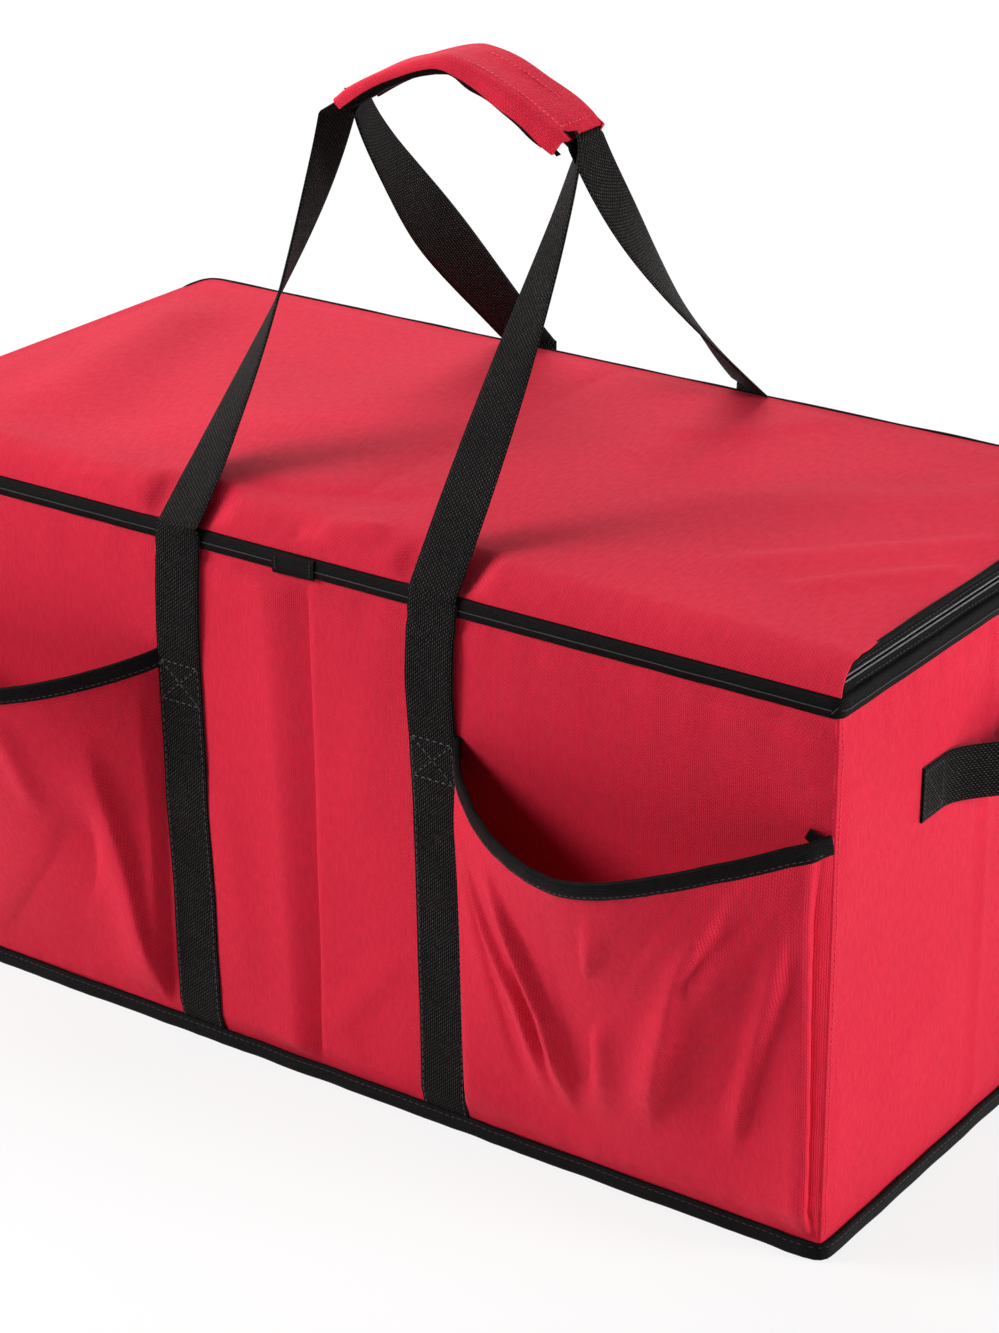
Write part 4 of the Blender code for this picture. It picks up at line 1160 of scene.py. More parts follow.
# Each leg: reach and drop of its upper arm, length of its lower one, how far it runs on
# straight from the wrap, and its twist as (share of the way up, degrees)
FRONT_LEFT_LEG = (0.0283, 0.0706, 0.0057, 0.014, ((0.0, 176), (0.10, 161), (0.45, 134),
                                                  (1.0, 78)))
FRONT_RIGHT_LEG = (0.0085, 0.0009, 0.1286, -0.002, ((0.0, 180), (0.30, 180), (1.0, 119.6)))
BACK_LEFT_LEG = (-0.0100, 0.0397, 0.0255, -0.002, ((0.0, 24), (0.35, 48), (0.75, 96),
                                                   (1.0, 114.8)))
BACK_RIGHT_LEG = (0.0396, 0.0430, 0.0115, 0.0025, ((0.0, 157.5), (0.5, 129), (1.0, 80.3)))
UNTWIST_LENGTH = 0.022
TWIST_BLEND_SHARE = 0.2
LID_CLEARANCE = 0.0012
STRAP_CLEARANCE = 0.0006
STRAP_SLACK = 0.0016
LEG_STEP = 0.0016
LEAN_LENGTH = 0.060
SOFTENING_PASSES = 14
STRAP_SAMPLES = (-0.016, -0.008, 0.0, 0.008, 0.016)


def leg(base, side, lift, arms, shares):
    """The route of one leg, from its upright base to the grip's end on the given side."""
    reach, drop, foot_reach, run_on = arms
    end, run, _ = arch_place(0.0 if side < 0 else 1.0, lift)
    run = run[0] * side
    end = end[0] + run * run_on
    end_arm = end + run * reach - UP * drop
    start_arm = base + unit(end_arm - base) * foot_reach
    t = shares[:, None]
    rest = 1 - t
    return (base * rest ** 3 + start_arm * (3 * rest * rest * t)
            + end_arm * (3 * rest * t * t) + end * t ** 3)


def over_lid(places):
    """The same places lifted where they would pass through the lid."""
    x, y, z = places.T
    behind = y + HALF_DEPTH
    relief = np.max([lid_relief(x + across, y) for across in STRAP_SAMPLES], axis=0)
    cloth = pressed_roll(x, y) + relief * ease(behind / LID_CURL)
    least = cloth + CLOTH / 2 + WEBBING_THICKNESS / 2 + LID_CLEARANCE
    lifted = least + soft_floor(z - least, LID_CLEARANCE)
    share = ease((behind + 0.001) / 0.003) * ease((HALF_DEPTH - y) / 0.02)
    return np.stack([x, y, z + (lifted - z) * share], -1)


def softened(places):
    """A leg that leans evenly from its foot on, with the bend over the roll rounded."""
    places = places.copy()
    far = distances(places)
    near = far < LEAN_LENGTH
    end = places[near][-1, 0]
    places[near, 0] = places[0, 0] + (end - places[0, 0]) * far[near] / far[near][-1]
    for _ in range(SOFTENING_PASSES):
        places[1:-1] = (places[:-2] + 2 * places[1:-1] + places[2:]) / 4
    return places


def half_loop(foot, foot_angles, side, lift, shape):
    """One half of a loop from its sewn foot to the middle of the grip, and its angles."""
    foot = spaced(foot, WEBBING_STEP)
    *arms, twist = shape
    rise = leg(foot[-1], side, lift[0], arms, np.linspace(0, 1, 120))
    rise = softened(spaced(over_lid(spaced(rise, LEG_STEP)), LEG_STEP))
    far = distances(rise) / distances(rise)[-1]
    shares, degrees = np.array(twist).T
    shifts = np.linspace(-TWIST_BLEND_SHARE, TWIST_BLEND_SHARE, 11)
    twists = [np.interp(far + shift, shares, degrees) for shift in shifts]
    angles = np.radians(np.mean(twists, axis=0))
    foot_shares = distances(foot) / distances(foot)[-1]
    low = np.interp(foot_shares, *np.array(foot_angles).T)
    in_wrap = np.linspace(0, 0.5, 36)
    lifts = lift[0] + (lift[1] - lift[0]) * ease(in_wrap * 2)
    parts = in_wrap if side < 0 else 1 - in_wrap
    middle = np.concatenate([arch_place(part, height)[0] for part, height in zip(parts, lifts)])
    gone = distances(middle)
    left = angles[-1] + (math.pi / 2 - angles[-1]) * ease(gone / UNTWIST_LENGTH)
    start = int(arms[3] < 0) * 2
    places = np.concatenate([foot[:-1], rise, middle[1 + start:]])
    turned = np.concatenate([np.radians(low[:-1]), angles, left[1 + start:]])
    return places, turned


def loop_route(halves):
    """Places and width directions of a carrying loop, from its left foot to its right."""
    (left, left_angles), (right, right_angles) = halves
    places = np.concatenate([left, right[-2::-1]])
    angles = np.concatenate([left_angles, right_angles[-2::-1]])
    return places, np.stack([np.cos(angles), np.sin(angles), np.zeros_like(angles)], -1)


LOOP_SEAM = 0.303
LEFT_LOOP_X = -0.081
FRONT_STRAP_DRIFTS = {
    "left": ((0.012, 0.0037), (0.090, 0.0036), (0.140, 0.0016), (0.200, -0.0004),
             (0.229, -0.0010), (0.280, 0.0022), (LOOP_SEAM, 0.0030)),
    "right": ((0.012, 0.0028), (0.120, 0.0022), (0.190, 0.0008), (0.225, -0.0006),
              (0.255, -0.0014), (0.290, -0.0006), (LOOP_SEAM, 0.0)),
}
SEWN_BOX = 0.024
STRAP_STITCH_INSET = 0.0022
STRAP_STITCH = 0.0042


def strap_places(wall, turn):
    """The middle of a sewn strap, from the floor seam up, following the wall's cloth."""
    front = wall == "front"
    side, offset = (-1, STRAP_OFFSET) if front else (1, BACK_STRAP_OFFSET)
    top = LOOP_SEAM if front else SEWN_HEIGHT
    heights = np.append(np.arange(SEAM_TOP - 0.001, top - 0.0005, WEBBING_STEP), top)
    x = np.full(len(heights), turn * offset)
    if front:
        drift = np.array(FRONT_STRAP_DRIFTS["left" if turn < 0 else "right"])
        x = x + np.interp(heights, drift[:, 0], drift[:, 1])
    relief, seed, s = (front_relief, 21, x) if front else (back_relief, 41, -x)
    edges = [wall_out(relief, s + across, heights, HALF_WIDTH, seed)
             for across in np.linspace(-WEBBING_WIDTH / 2, WEBBING_WIDTH / 2, 7)]
    out = STRAP_OUT + np.mean(edges, axis=0) * 0.6 + np.max(edges, axis=0) * 0.4
    if front:
        jog_head = BODY_HEIGHT - RIM_BINDING_HEIGHT - GAP
        rise = ease((heights - jog_head + STRAP_JOG) / STRAP_JOG)
        out = out * (1 - rise) + (STRAP_OUT_AT_RIM + STRAP_CLEARANCE) * rise
        slack = (heights - SEWN_HEIGHT) / (LOOP_SEAM - SEWN_HEIGHT)
        out = out + STRAP_SLACK * np.sin(math.pi * np.clip(slack, 0, 1))
    return np.stack([x, side * (HALF_DEPTH + out), heights], -1)


def strap_stitches(name, places, normal):
    """Rows along both edges of a sewn strap and a crossed box at the end of its seam."""
    sewn = places[places[:, 2] <= SEWN_HEIGHT]
    lift = normal * (WEBBING_THICKNESS / 2)
    reach = WEBBING_WIDTH / 2 - STRAP_STITCH_INSET
    rows = []
    for across in (-reach, reach):
        rows.append(spaced(sewn + X_AXIS * across + lift, STRAP_STITCH))
    box = sewn[sewn[:, 2] >= SEWN_HEIGHT - SEWN_BOX]
    share = distances(box) / distances(box)[-1]
    for first, second in ((-reach, reach), (reach, -reach)):
        slant = (first + (second - first) * share)[:, None]
        rows.append(spaced(box + X_AXIS * slant + lift, STRAP_STITCH))
    for row in (box[0], box[-1]):
        level = np.array([row - X_AXIS * reach, row + X_AXIS * reach]) + lift
        rows.append(spaced(level, STRAP_STITCH))
    for i, row in enumerate(rows):
        sew(f"{name}_stitches_{i}", row, normal, None, "black_webbing",
            width=0.0008, height=0.0004)


def make_straps():
    """The sewn webbing on the front and back walls."""
    section = strip_section(WEBBING_WIDTH, WEBBING_THICKNESS)
    for wall, side in (("front", -1), ("back", 1)):
        for end, turn in (("left", -1), ("right", 1)):
            name = f"{wall}_strap_{end}"
            places = strap_places(wall, turn)
            strap = ribbon(f"{name}_webbing", places, X_AXIS, section, webbing)
            dress(strap, "black_webbing", name, body="tote")
            strap_stitches(name, places, Y_AXIS * side)


def make_loops():
    """Both carrying loops; inside the wrap each one passes from over to under the other."""
    section = strip_section(WEBBING_WIDTH, WEBBING_THICKNESS)
    under = -WEBBING_THICKNESS - LOOP_GAP
    front_y = -(HALF_DEPTH + STRAP_OUT_AT_RIM + STRAP_CLEARANCE)
    halves = []
    for side, x, lift, shape in ((-1, LEFT_LOOP_X, 0.0, FRONT_LEFT_LEG),
                                 (1, STRAP_OFFSET, under, FRONT_RIGHT_LEG)):
        foot = [(x, front_y, LOOP_SEAM), (x, front_y, LOOP_SEAM + 0.0025)]
        halves.append(half_loop(foot, ((0, 180), (1, 180)), side, (lift, under / 2), shape))
    places, facings = loop_route(halves)
    loop = ribbon("front_loop_webbing", places, facings, section, webbing)
    dress(loop, "black_webbing", "front_handle_webbing", body="front_handle")

    clear_y = HALF_DEPTH + BACK_STANDOFF + WEBBING_THICKNESS / 2
    halves = []
    for side, lift, shape, turn in ((-1, under, BACK_LEFT_LEG, 0), (1, 0.0, BACK_RIGHT_LEG, 180)):
        x = side * BACK_STRAP_OFFSET
        foot = [tuple(strap_places("back", side)[-1]), (x, clear_y, SEWN_HEIGHT + BACK_RISE),
                (x, clear_y + 0.0010, LID_FOOT)]
        last = shape[4][0][1]
        angles = ((0, turn), (0.6, turn), (1, last))
        halves.append(half_loop(foot, angles, side, (lift, under / 2), shape))
    places, facings = loop_route(halves)
    loop = ribbon("back_loop_webbing", places, facings, section, webbing)
    dress(loop, "black_webbing", "back_handle_webbing", body="back_handle")


# The grip

GRIP_HALF = GRIP_DEPTH / 2
GRIP_MIDDLE = GRIP_CLOTH / 2
GRIP_FOOT = -GRIP_CLOTH / 2 - GRIP_DROP
GRIP_FRONT_FOOT = GRIP_FOOT - GRIP_MIDDLE
GRIP_HINGE = GRIP_HALF - GRIP_CLOTH + GAP + GRIP_MIDDLE
GRIP_COLUMNS = 110
WRAP_ROUND = 0.0034
WRAP_STEP = 0.0010
TUCK_STEP = 0.0012
LINED_SHARES = (0.02, 0.94)
RED_DROPS = ((0.0, 0.0022), (0.20, 0.0010), (0.45, 0.0008), (0.62, 0.0040), (1.0, 0.0080))
UNDER_DROP = 0.0030
FLAP_SHARE = 0.62
GRIP_STITCH = 0.0030


def grip_surface(route, shares, lift, puffs):
    """Points of a cloth carried along the grip's arch by its (depth, height) route."""
    places, run, up = arch_place(shares, lift)
    line = unit(np.gradient(route, axis=0))
    normal = np.stack([line[:, 1], -line[:, 0]], -1)
    flat = route[:, None, :] + normal[:, None, :] * puffs[..., None]
    return places[None] + Y_AXIS * flat[..., 0:1] + up[None] * flat[..., 1:2], run


def make_closures(shares, hook_y, hook_z, loop_y, loop_z):
    """The two closure strips, on the wrap's tuck and inside its rear flap."""
    places, run, up = arch_place(shares, GRIP_TOP_OUT)
    strip = strip_section(0.0040, 0.0007, 6)
    for name, body, y, z, width in (("hook", "front_handle", hook_y, hook_z, Y_AXIS),
                                    ("loop", "grip_flap", loop_y, loop_z, up)):
        centre = places + Y_AXIS * y + up * z
        made = sweep(f"grip_{name}_closure", centre, width, np.cross(run, width), strip, zip_tape)
        dress(made, "zipper_coil", f"grip_{name}_strip", body=body)


def make_wrap(shares, drops):
    """The red cloth over the top of the grip and down its front."""
    hem = drops * (1 + uneven("hem", shares * GRIP_LENGTH, 0)) + 0.0004
    route = spaced(rounded_route([(GRIP_HALF - GRIP_CLOTH, 0.0), (-GRIP_HALF + GRIP_MIDDLE, 0.0),
                                  (-GRIP_HALF + GRIP_MIDDLE, -1.0)], WRAP_ROUND), WRAP_STEP)
    route = route[route[:, 1] > -WRAP_ROUND]
    level = np.linspace(0, 1, 8)[1:]
    u, v = np.meshgrid(shares, distances(route))
    end = np.minimum(u, 1 - u)
    puff = uneven("wrap", u * GRIP_LENGTH, v) + 0.0009 * ease(end / 0.05) - 0.0003
    puff += uneven("wrap_ends", u * GRIP_LENGTH * 0.2, v) * np.exp(-end / 0.05)
    points, run = grip_surface(route, shares, GRIP_TOP_OUT, puff)
    last = points[-1]
    down = -arch_place(shares, 0)[2]
    front = [last + down * (step * hem)[:, None] for step in level]
    points = np.concatenate([points, np.array(front)])
    v_all = distances(points.mean(axis=1))
    at_ends = np.exp(-np.minimum(shares, 1 - shares) / 0.06)
    wave = ripples(v_all, 0, 0.030, 93, 3)[:, None] * at_ends
    points = points + run[None] * (0.0016 * wave * np.sign(shares - 0.5))[..., None]
    wrap = slab("grip_wrap_cloth", points, GRIP_CLOTH * 0.9, red)
    dress(wrap, "red_cloth", "grip_wrap", body="front_handle")


def underside_reach(drops):
    """How far down the underside hangs at each share, against its plain depth."""
    return (WRAP_ROUND + drops + UNDER_DROP) / -GRIP_FRONT_FOOT


def make_underside(shares, drops):
    """The black lining that shows below the red cloth."""
    inner = -GRIP_HALF + GRIP_MIDDLE + 0.0012
    route = spaced(rounded_route([(inner, -0.0030), (inner, GRIP_FRONT_FOOT),
                                  (inner + GRIP_TUCK, GRIP_FRONT_FOOT)], 0.0030),
                   TUCK_STEP)
    u, v = np.meshgrid(shares, distances(route))
    puff = uneven("underside", u * GRIP_LENGTH, v)
    lined = np.linspace(*LINED_SHARES, GRIP_COLUMNS)
    points, _ = grip_surface(route, lined, GRIP_TOP_OUT, puff)
    arch, _, up = arch_place(lined, GRIP_TOP_OUT)
    fall = np.sum((points - arch[None]) * up[None], axis=-1, keepdims=True)
    wanted = underside_reach(drops)[None, :, None]
    points = points + up[None] * fall * (wanted - 1)
    under = slab("grip_underside_tape", points, GRIP_CLOTH * 0.6, zip_tape)
    dress(under, "zipper_coil", body="front_handle")


def make_flap(shares):
    """The rear flap, which opens on a hinge of its own."""
    route = spaced(rounded_route([(GRIP_HINGE - 0.002, 0.0), (GRIP_HINGE, 0.0),
                                  (GRIP_HINGE, GRIP_FOOT)], 0.0018),
                   0.0012)
    u, v = np.meshgrid(shares, distances(route))
    puff = uneven("flap", u * GRIP_LENGTH, v)
    points, _ = grip_surface(route, shares, GRIP_TOP_OUT, puff)
    arch, _, up = arch_place(shares, GRIP_TOP_OUT)
    fall = np.sum((points - arch[None]) * up[None], axis=-1, keepdims=True)
    points = points - up[None] * fall * (1 - FLAP_SHARE)
    flap = slab("grip_flap_cloth", points, GRIP_CLOTH * 0.85, red)
    dress(flap, "red_cloth", "grip_flap", body="grip_flap")


def stitch_grip(shares):
    """The rows of stitches along the grip's top and round its two ends."""
    places, _, up = arch_place(shares, GRIP_TOP_OUT)
    top = GRIP_MIDDLE + 0.0011
    rows = {"front": places - Y_AXIS * (GRIP_HALF - 0.0050) + up * top,
            "rear": places + Y_AXIS * (GRIP_HALF - 0.0120) + up * (top - 0.0004)}
    for name, line in rows.items():
        part = slice(60, -3)
        sew(f"grip_{name}_stitches", line[part], up[part], GRIP_STITCH, "red_cloth",
            "front_handle")
    for name, at in (("left", 4), ("right", -5)):
        across = np.linspace(-GRIP_HALF + 0.0050, GRIP_HALF - 0.0065, 9)
        line = places[at] + Y_AXIS * across[:, None] + up[at] * top
        sew(f"grip_{name}_stitches", line, up[at], GRIP_STITCH, "red_cloth", "front_handle")


def make_grip():
    """The soft wrap: red over the top, black below it, its rear flap and the closures."""
    shares = np.linspace(0, 1, GRIP_COLUMNS)
    drops = np.interp(shares, *np.array(RED_DROPS).T)
    make_wrap(shares, drops)
    make_underside(shares, drops)
    make_flap(shares)
    tuck = (GRIP_FRONT_FOOT + GRIP_MIDDLE + 0.0007) * underside_reach(drops)[:, None]
    make_closures(shares, -GRIP_HALF + GRIP_CLOTH + 0.0040, tuck,
                  GRIP_HINGE - GRIP_MIDDLE - 0.0006, (GRIP_FOOT + 0.0030) * FLAP_SHARE)
    stitch_grip(shares)


# The pockets

POCKET_SPAN = HALF_WIDTH - STRAP_OFFSET - WEBBING_WIDTH / 2
POCKET_TUCK_SHARE = -0.026
POCKET_FLANK_SHARE = 0.030
POCKET_FLANK = 0.0062
PLEAT_OUT = 0.0078
# Each fold of a pocket: its places as shares across and up, two widths and its height
RIGHT_FOLDS = (
    (((0.030, 0.93), (0.110, 0.76), (0.231, 0.475), (0.291, 0.130)), 0.015, 0.030, 0.0048),
    (((0.070, 0.90), (0.105, 0.62), (0.170, 0.40), (0.225, 0.16)), 0.026, 0.020, -0.0036),
    (((0.178, 0.93), (0.268, 0.722), (0.330, 0.488), (0.350, 0.120)), 0.020, 0.036, 0.0086),
    (((0.235, 0.64), (0.262, 0.48), (0.290, 0.28)), 0.018, 0.018, -0.0034),
    (((0.450, 0.985), (0.448, 0.829), (0.425, 0.560), (0.400, 0.220)), 0.050, 0.030, -0.0092),
    (((0.530, 0.930), (0.500, 0.740), (0.466, 0.500), (0.438, 0.160)), 0.040, 0.040, 0.0062),
    (((0.740, 0.985), (0.640, 0.860), (0.520, 0.700), (0.440, 0.440)), 0.036, 0.026, -0.0074),
    (((0.855, 0.930), (0.760, 0.720), (0.660, 0.500), (0.560, 0.180)), 0.024, 0.052, 0.0084),
    (((0.880, 0.960), (0.820, 0.840), (0.740, 0.700), (0.680, 0.480)), 0.022, 0.018, -0.0058),
    (((0.955, 0.900), (0.915, 0.660), (0.850, 0.430), (0.780, 0.160)), 0.018, 0.034, 0.0054),
)
LEFT_FOLDS = (
    (((0.150, 0.86), (0.111, 0.582), (0.064, 0.281), (0.010, 0.020)), 0.075, 0.015, 0.0070),
    (((0.640, -0.04), (0.478, 0.084), (0.245, 0.392), (0.130, 0.700)), 0.050, 0.060, -0.0060),
    (((0.360, 0.96), (0.330, 0.78), (0.300, 0.560)), 0.040, 0.030, 0.0030),
    (((0.700, 0.90), (0.640, 0.60), (0.560, 0.35)), 0.050, 0.040, 0.0050),
    (((0.880, 0.90), (0.840, 0.60), (0.780, 0.30)), 0.030, 0.030, -0.0040),
)
MOUTH_RAISE = ((0.0, 0.0), (0.46, 0.0), (0.52, 0.0016), (0.58, 0.0036), (0.69, 0.0070),
               (0.80, 0.0086), (0.93, 0.0076), (1.0, 0.0046))
PLEAT_REACH_SHARE = 0.052
CORNER_TUCK = 0.0016
CORNER_TUCK_SHARE = 0.008
PLEAT_STEPS = (0.0, 0.15, 0.30, 0.42, 0.52, 0.64, 0.76, 0.88, 1.0)
PLEAT_PLACES = (1.0, 0.74, 0.46, 0.26, 0.30, 0.56, 0.58, 0.30, 0.0)
PLEAT_OUTS = (1.0, 1.06, 1.10, 0.94, 0.66, 0.42, 0.24, 0.16, 0.06)


def pocket_point(side, u, v):
    """The middle of a pocket's cloth; u runs from the strap to the corner, v up it."""
    start = STRAP_OFFSET + WEBBING_WIDTH / 2 + GAP + POCKET_CLOTH / 2
    finish = HALF_WIDTH - GAP - POCKET_CLOTH / 2
    across = np.clip(u if side > 0 else 1 - u, 0.0, 1.0)
    left = np.sin(np.minimum(across / POCKET_PEAK_SHARE, 1) * math.pi / 2)
    right = np.sin(np.minimum((1 - across) / (1 - POCKET_PEAK_SHARE), 1) * math.pi / 2)
    bow = np.where(across < POCKET_PEAK_SHARE, left ** POCKET_LEFT_ROUNDNESS,
                   right ** POCKET_RIGHT_ROUNDNESS)
    top = POCKET_HEIGHT - POCKET_DROOP * bow
    height = SEAM_TOP + v * (top - SEAM_TOP)
    out = GAP + POCKET_CLOTH / 2 + POCKET_BULGE * bow * np.clip(v, 0, 1) ** POCKET_FILL
    x = side * (start + u * (finish - start))
    return np.stack([x, -HALF_DEPTH - out, height], -1)


def pocket_folds(table, u, v):
    """How far the folds stand out, over the share from the strap to the corner and up."""
    folds = uneven("pocket", u * 0.21, v * 0.2)
    for route, width, other_width, height in table:
        folds = folds + fold_line(u, v, route, width, height, other_width, 0.30)
    gather = uneven("pocket_foot", u * 0.21, v * 0.02) * np.exp(-v / 0.06)
    gather += uneven("pocket_mouth", u * 0.21, v * 0.02) * np.exp(-(1 - v) / 0.05)
    held = ease(np.minimum(u, 1 - u) / 0.05) * ease(v / 0.04)
    return (folds * ease(v / 0.16) * ease((1 - v) / 0.10) + gather) * held


def pocket_surface(side, u, v):
    """A pocket as it looks: full at the strap, folded, with a pleat beside the corner."""
    base = pocket_point(side, u, v)
    stand = pocket_folds(RIGHT_FOLDS if side > 0 else LEFT_FOLDS, u, v)
    low = ease(v / 0.10) * ease((1.04 - v) / 0.24)
    flank = POCKET_FLANK * ease(u / POCKET_FLANK_SHARE) * np.exp(-np.maximum(u, 0) / 0.22) * low
    from_corner = 1 - u
    face = PLEAT_OUT * low * np.exp(-np.maximum(from_corner - PLEAT_REACH_SHARE, 0) / 0.10)
    step = np.clip(1 - from_corner / PLEAT_REACH_SHARE, 0, 1)
    out = -HALF_DEPTH - base[..., 1]
    wall = wall_out(front_relief, base[..., 0], np.clip(base[..., 2], WALL_FOOT, WALL_TOP),
                    HALF_WIDTH, 21)
    wall = wall * np.exp(-np.maximum(out - GAP - POCKET_CLOTH, 0) / 0.008)
    pleated = np.interp(step, PLEAT_STEPS, PLEAT_OUTS) * face
    extra = np.where(from_corner < PLEAT_REACH_SHARE, pleated, face)
    base[..., 1] -= np.maximum(stand + flank, 0) * ease(from_corner / PLEAT_REACH_SHARE)
    base[..., 1] -= extra + wall
    base[..., 1] += CORNER_TUCK * ease(1 - from_corner / CORNER_TUCK_SHARE)
    moved = PLEAT_REACH_SHARE * (np.interp(step, PLEAT_STEPS, PLEAT_PLACES) - 1 + step)
    base[..., 0] -= side * moved * POCKET_SPAN * low
    if side > 0:
        base[..., 2] += np.interp(u, *np.array(MOUTH_RAISE).T) * v
    return base


MOUTH_BINDING_SHOWN = 0.0085
TURNED_END = 0.011
MOUTH_STITCH_HEIGHT = 0.0018
MOUTH_ROUND = 0.0009


def make_pocket(side):
    """A pocket's cloth and the stitched tape along its mouth."""
    name = "left" if side < 0 else "right"
    across = np.concatenate([np.linspace(POCKET_TUCK_SHARE, 0.05, 16)[:-1],
                             np.linspace(0.05, 0.94, 112)[:-1], np.linspace(0.94, 1.0, 40)])
    u, v = np.meshgrid(across, np.linspace(0, 1, 120))
    points = pocket_surface(side, u, v)
    if side < 0:
        points = points[:, ::-1]
    cloth = slab(f"{name}_pocket_cloth", points, POCKET_CLOTH, red)
    dress(cloth, "red_cloth", f"{name}_pocket", body="tote")

    u = np.linspace(-0.012, 0.996, 170)
    top = np.ones_like(u)
    places = pocket_surface(side, u, top)
    low = pocket_surface(side, u, top - 0.02)
    if side < 0:
        places, low = places[::-1], low[::-1]
    along = unit(np.gradient(places, axis=0))
    up = unit(places - low)
    out = unit(np.cross(along, up))
    up = unit(np.cross(out, along))
    half = POCKET_CLOTH / 2 + 0.0004 + POCKET_BINDING_THICKNESS / 2
    depth = MOUTH_BINDING_SHOWN
    route = rounded_route([(half, -depth), (half + 0.0004, -depth / 2), (half, 0.0008),
                           (-half, 0.0008), (-half, -depth)], MOUTH_ROUND)
    section = folded(route, POCKET_BINDING_THICKNESS)
    band = sweep(f"{name}_pocket_mouth_binding", places, out, up, section, binding)
    dress(band, "black_binding", f"{name}_pocket_binding", body="tote")
    for face, facing in (("outer", 1), ("inner", -1)):
        line = places - up * (depth - MOUTH_STITCH_HEIGHT) + out * (facing * (half + 0.0005))
        sew(f"{name}_pocket_{face}_stitches", line[2:-2], out[2:-2] * facing, STITCH_PITCH,
            "black_binding")
    make_turned_end(name, side, places, out)


def make_turned_end(name, side, places, out):
    """The end of the mouth's tape, folded back behind it beside the corner."""
    at = -1 if side > 0 else 0
    corner = places[at] - out[at] * 0.0016
    back = np.array([-side, 0.10, 0.10])
    route = np.array([corner + unit(back) * share * TURNED_END for share in np.linspace(0, 1, 9)])
    route[:, 1] = np.minimum(route[:, 1], -HALF_DEPTH - 0.0026)
    route = route + UP * (0.0030 * np.linspace(0, 1, 9) ** 2)[:, None]
    facings = UP * 0.96 - Y_AXIS * 0.28
    tab = ribbon(f"{name}_pocket_turned_tape", route - UP * 0.0056, facings,
                 strip_section(MOUTH_BINDING_SHOWN * 1.4, 0.0020, 6), binding)
    dress(tab, "black_binding", body="tote")


# The end handles

TAB_INSET = 0.002
TAB_BOX_HALF = 0.012
TAB_BOX_STEP = 0.0005
TAB_STAND = 0.0010


def make_end_handle(side):
    """A webbing handle in two halves, each with its sewn tab on the wall."""
    name = "left" if side < 0 else "right"
    half = END_HANDLE_LENGTH / 2
    free = half - END_HANDLE_TAB
    y = np.linspace(-half, half, 121)
    share = np.clip((y + free) / (2 * free), 0, 1)
    z = np.full(len(y), END_HANDLE_HEIGHT)
    wall = wall_out(end_relief, y, z, HALF_DEPTH, 31)
    out = (HALF_WIDTH + GAP + WEBBING_THICKNESS / 2 + wall * 0.8
           + (END_HANDLE_STANDOFF - WEBBING_THICKNESS) * np.sin(math.pi * share) ** 2)
    places = np.stack([side * out, y, z], -1)
    section = strip_section(WEBBING_WIDTH, WEBBING_THICKNESS)
    body = f"{name}_end_handle"
    middle = len(y) // 2
    for part, cut, turn in (("front", slice(0, middle + 1), -1), ("rear", slice(middle, None), 1)):
        made = ribbon(f"{name}_end_handle_{part}_webbing", places[cut], UP, section, webbing)
        start = (side * HALF_WIDTH, turn * (free - 0.0005), END_HANDLE_HEIGHT)
        end = (side * HALF_WIDTH, turn * 0.020, END_HANDLE_HEIGHT)
        nodes = [f"{name}_end_handle"] if part == "front" else []
        dress(made, "black_webbing", *nodes, blended=("tote", body, start, end))
        far, near = turn * (half - TAB_INSET), turn * (free + TAB_INSET)
        tab = [(far, TAB_BOX_HALF), (near, TAB_BOX_HALF), (near, -TAB_BOX_HALF),
               (far, -TAB_BOX_HALF), (far, TAB_BOX_HALF), (near, -TAB_BOX_HALF)]
        stand = HALF_WIDTH + GAP + WEBBING_THICKNESS + TAB_STAND
        line = np.array([[side * stand, a, END_HANDLE_HEIGHT + b] for a, b in tab])
        line = spaced(line, TAB_BOX_STEP)
        sew(f"{name}_end_handle_{part}_stitches", line, X_AXIS * side, HANDLE_STITCH,
            "black_webbing")


# Inside

LINING_CORNER = 0.010
LINING_STEP = 0.004
LINING_BULGE = -0.0006


def make_inside():
    """The lining round the inside of the walls."""
    inset = WALL_STACK - LINING / 2
    places, out = ring(LINING_CORNER, 0, LINING_STEP)
    far = distances(places)
    heights = np.linspace(WALL_FOOT, WALL_TOP, 30)
    sections = []
    for s in far:
        bulge = LINING_BULGE * (1 + ripples(s, heights, 0.08, 111))
        bulge *= ease(np.minimum(heights - WALL_FOOT, WALL_TOP - heights) / 0.03)
        route = np.stack([-inset + bulge, heights], -1)
        sections.append(folded(route, LINING))
    lining = sweep("wall_lining_cloth", places, out, UP, np.array(sections), lining_red,
                   closed=True)
    dress(lining, "red_cloth", "wall_lining", body="tote")


NODE_FINISHES = (
    (("board_",), board, 0, 0),
    (("zipper_slider", "zipper_pull"), metal, 0.00022, 2),
    (("base_board",), red, 0.0009, 3),
)


def finish_nodes():
    """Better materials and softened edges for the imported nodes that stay."""
    for name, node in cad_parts.items():
        for words, material, width, segments in NODE_FINISHES:
            if not any(word in name for word in words):
                continue
            node.data.materials.clear()
            node.data.materials.append(material)
            if width:
                soften = node.modifiers.new("Edges", "BEVEL")
                soften.width = width
                soften.segments = segments


# Floor and light

def seen_rays(tree):
    """1 for a ray that shows the background itself, 0 for one that lights the tote."""
    path = tree.nodes.new("ShaderNodeLightPath")
    seen = calc(tree, "MAXIMUM", path.outputs["Is Camera Ray"], path.outputs["Is Glossy Ray"])
    return calc(tree, "MAXIMUM", seen, path.outputs["Is Transmission Ray"])


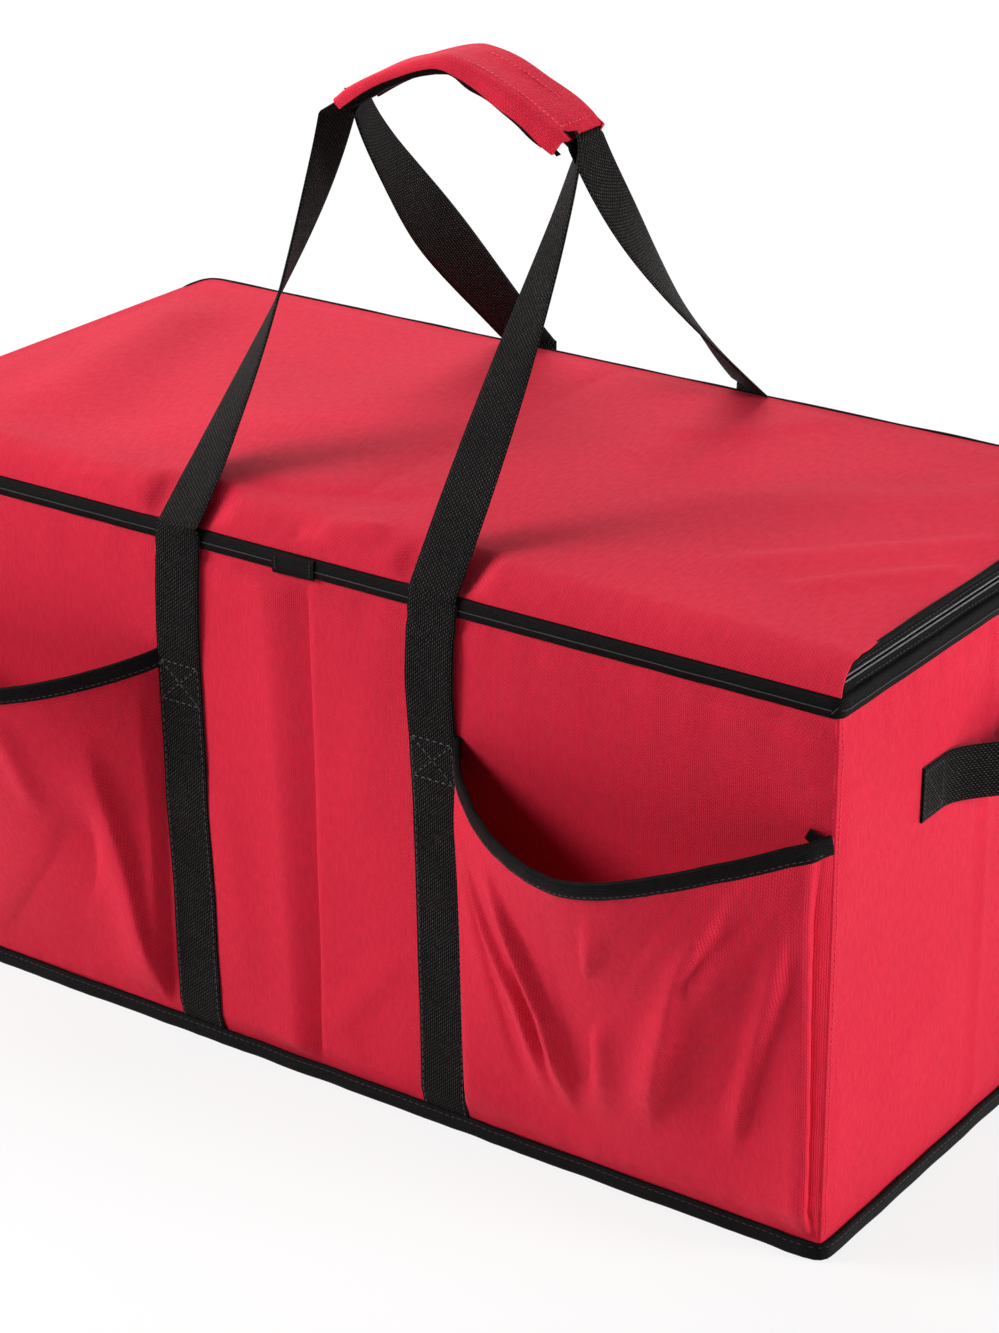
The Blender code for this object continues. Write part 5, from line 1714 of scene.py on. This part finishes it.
STAGE_HALF = 6.0
STAGE_DROP = 0.0006
STAGE_GREY = 0.86
FADE_NEAR = 0.45
FADE_FAR = 1.10
FADE_LEAST = 0.82
SURROUND_LIGHT = 0.07
LAMPS = (
    ("front_left", (-2.0, -1.8, 1.5), (0, 0, 0.25), 1.5, 88),
    ("right", (2.5, 0.5, 0.8), (0.2, 0, 0.2), 1.3, 62),
    ("top_left", (-1.0, 0.6, 2.0), (0, 0, 0.3), 2.2, 38),
)


def make_stage():
    """A pale floor that fades to white away from the tote."""
    points = np.array([[-STAGE_HALF, -STAGE_HALF, -STAGE_DROP],
                       [STAGE_HALF, -STAGE_HALF, -STAGE_DROP],
                       [STAGE_HALF, STAGE_HALF, -STAGE_DROP],
                       [-STAGE_HALF, STAGE_HALF, -STAGE_DROP]])
    mesh = bpy.data.meshes.new("floor")
    mesh.from_pydata(points.tolist(), [], [(0, 1, 2, 3)])
    floor = bpy.data.objects.new("floor", mesh)
    bpy.context.scene.collection.objects.link(floor)
    made = bpy.data.materials.new("pale_floor")
    made.use_nodes = True
    tree = made.node_tree
    tree.nodes.clear()
    diffuse = tree.nodes.new("ShaderNodeBsdfDiffuse")
    diffuse.inputs["Color"].default_value = (STAGE_GREY, STAGE_GREY, STAGE_GREY, 1.0)
    glow = tree.nodes.new("ShaderNodeEmission")
    glow.inputs["Strength"].default_value = 1.0
    seen = seen_rays(tree)
    place = tree.nodes.new("ShaderNodeTexCoord")
    length = tree.nodes.new("ShaderNodeVectorMath")
    length.operation = "LENGTH"
    tree.links.new(place.outputs["Object"], length.inputs[0])
    far = tree.nodes.new("ShaderNodeMapRange")
    far.interpolation_type = "SMOOTHSTEP"
    far.inputs["From Min"].default_value = FADE_NEAR
    far.inputs["From Max"].default_value = FADE_FAR
    far.inputs["To Min"].default_value = FADE_LEAST
    tree.links.new(length.outputs["Value"], far.inputs["Value"])
    share = calc(tree, "MULTIPLY", seen, far.outputs["Result"])
    mixed = tree.nodes.new("ShaderNodeMixShader")
    tree.links.new(share, mixed.inputs[0])
    tree.links.new(diffuse.outputs[0], mixed.inputs[1])
    tree.links.new(glow.outputs[0], mixed.inputs[2])
    output = tree.nodes.new("ShaderNodeOutputMaterial")
    tree.links.new(mixed.outputs[0], output.inputs["Surface"])
    mesh.materials.append(made)


def add_lamp(name, place, target, size, energy):
    """A round soft lamp turned towards a target."""
    lamp = bpy.data.objects.new(name, bpy.data.lights.new(name, "AREA"))
    bpy.context.scene.collection.objects.link(lamp)
    lamp.data.shape = "DISK"
    lamp.data.size = size
    lamp.data.energy = energy
    lamp.location = place
    lamp.rotation_mode = "QUATERNION"
    lamp.rotation_quaternion = (Vector(target) - Vector(place)).to_track_quat("-Z", "Y")


def make_light():
    """White surroundings and three soft lamps."""
    world = bpy.data.worlds.new("studio")
    bpy.context.scene.world = world
    world.use_nodes = True
    tree = world.node_tree
    back = tree.nodes["Background"]
    back.inputs["Color"].default_value = (1, 1, 1, 1)
    seen = seen_rays(tree)
    tree.links.new(spread(tree, seen, SURROUND_LIGHT, 1.0), back.inputs["Strength"])
    for lamp in LAMPS:
        add_lamp(*lamp)


def main():
    """Build the whole scene."""
    bpy.context.scene.view_settings.view_transform = "Standard"
    add_camera()
    make_walls()
    make_floor_binding()
    make_rim_binding()
    make_lid()
    make_zipper()
    make_straps()
    make_loops()
    make_grip()
    for side in (-1, 1):
        make_pocket(side)
        make_end_handle(side)
    make_inside()
    finish_nodes()
    make_stage()
    make_light()


main()
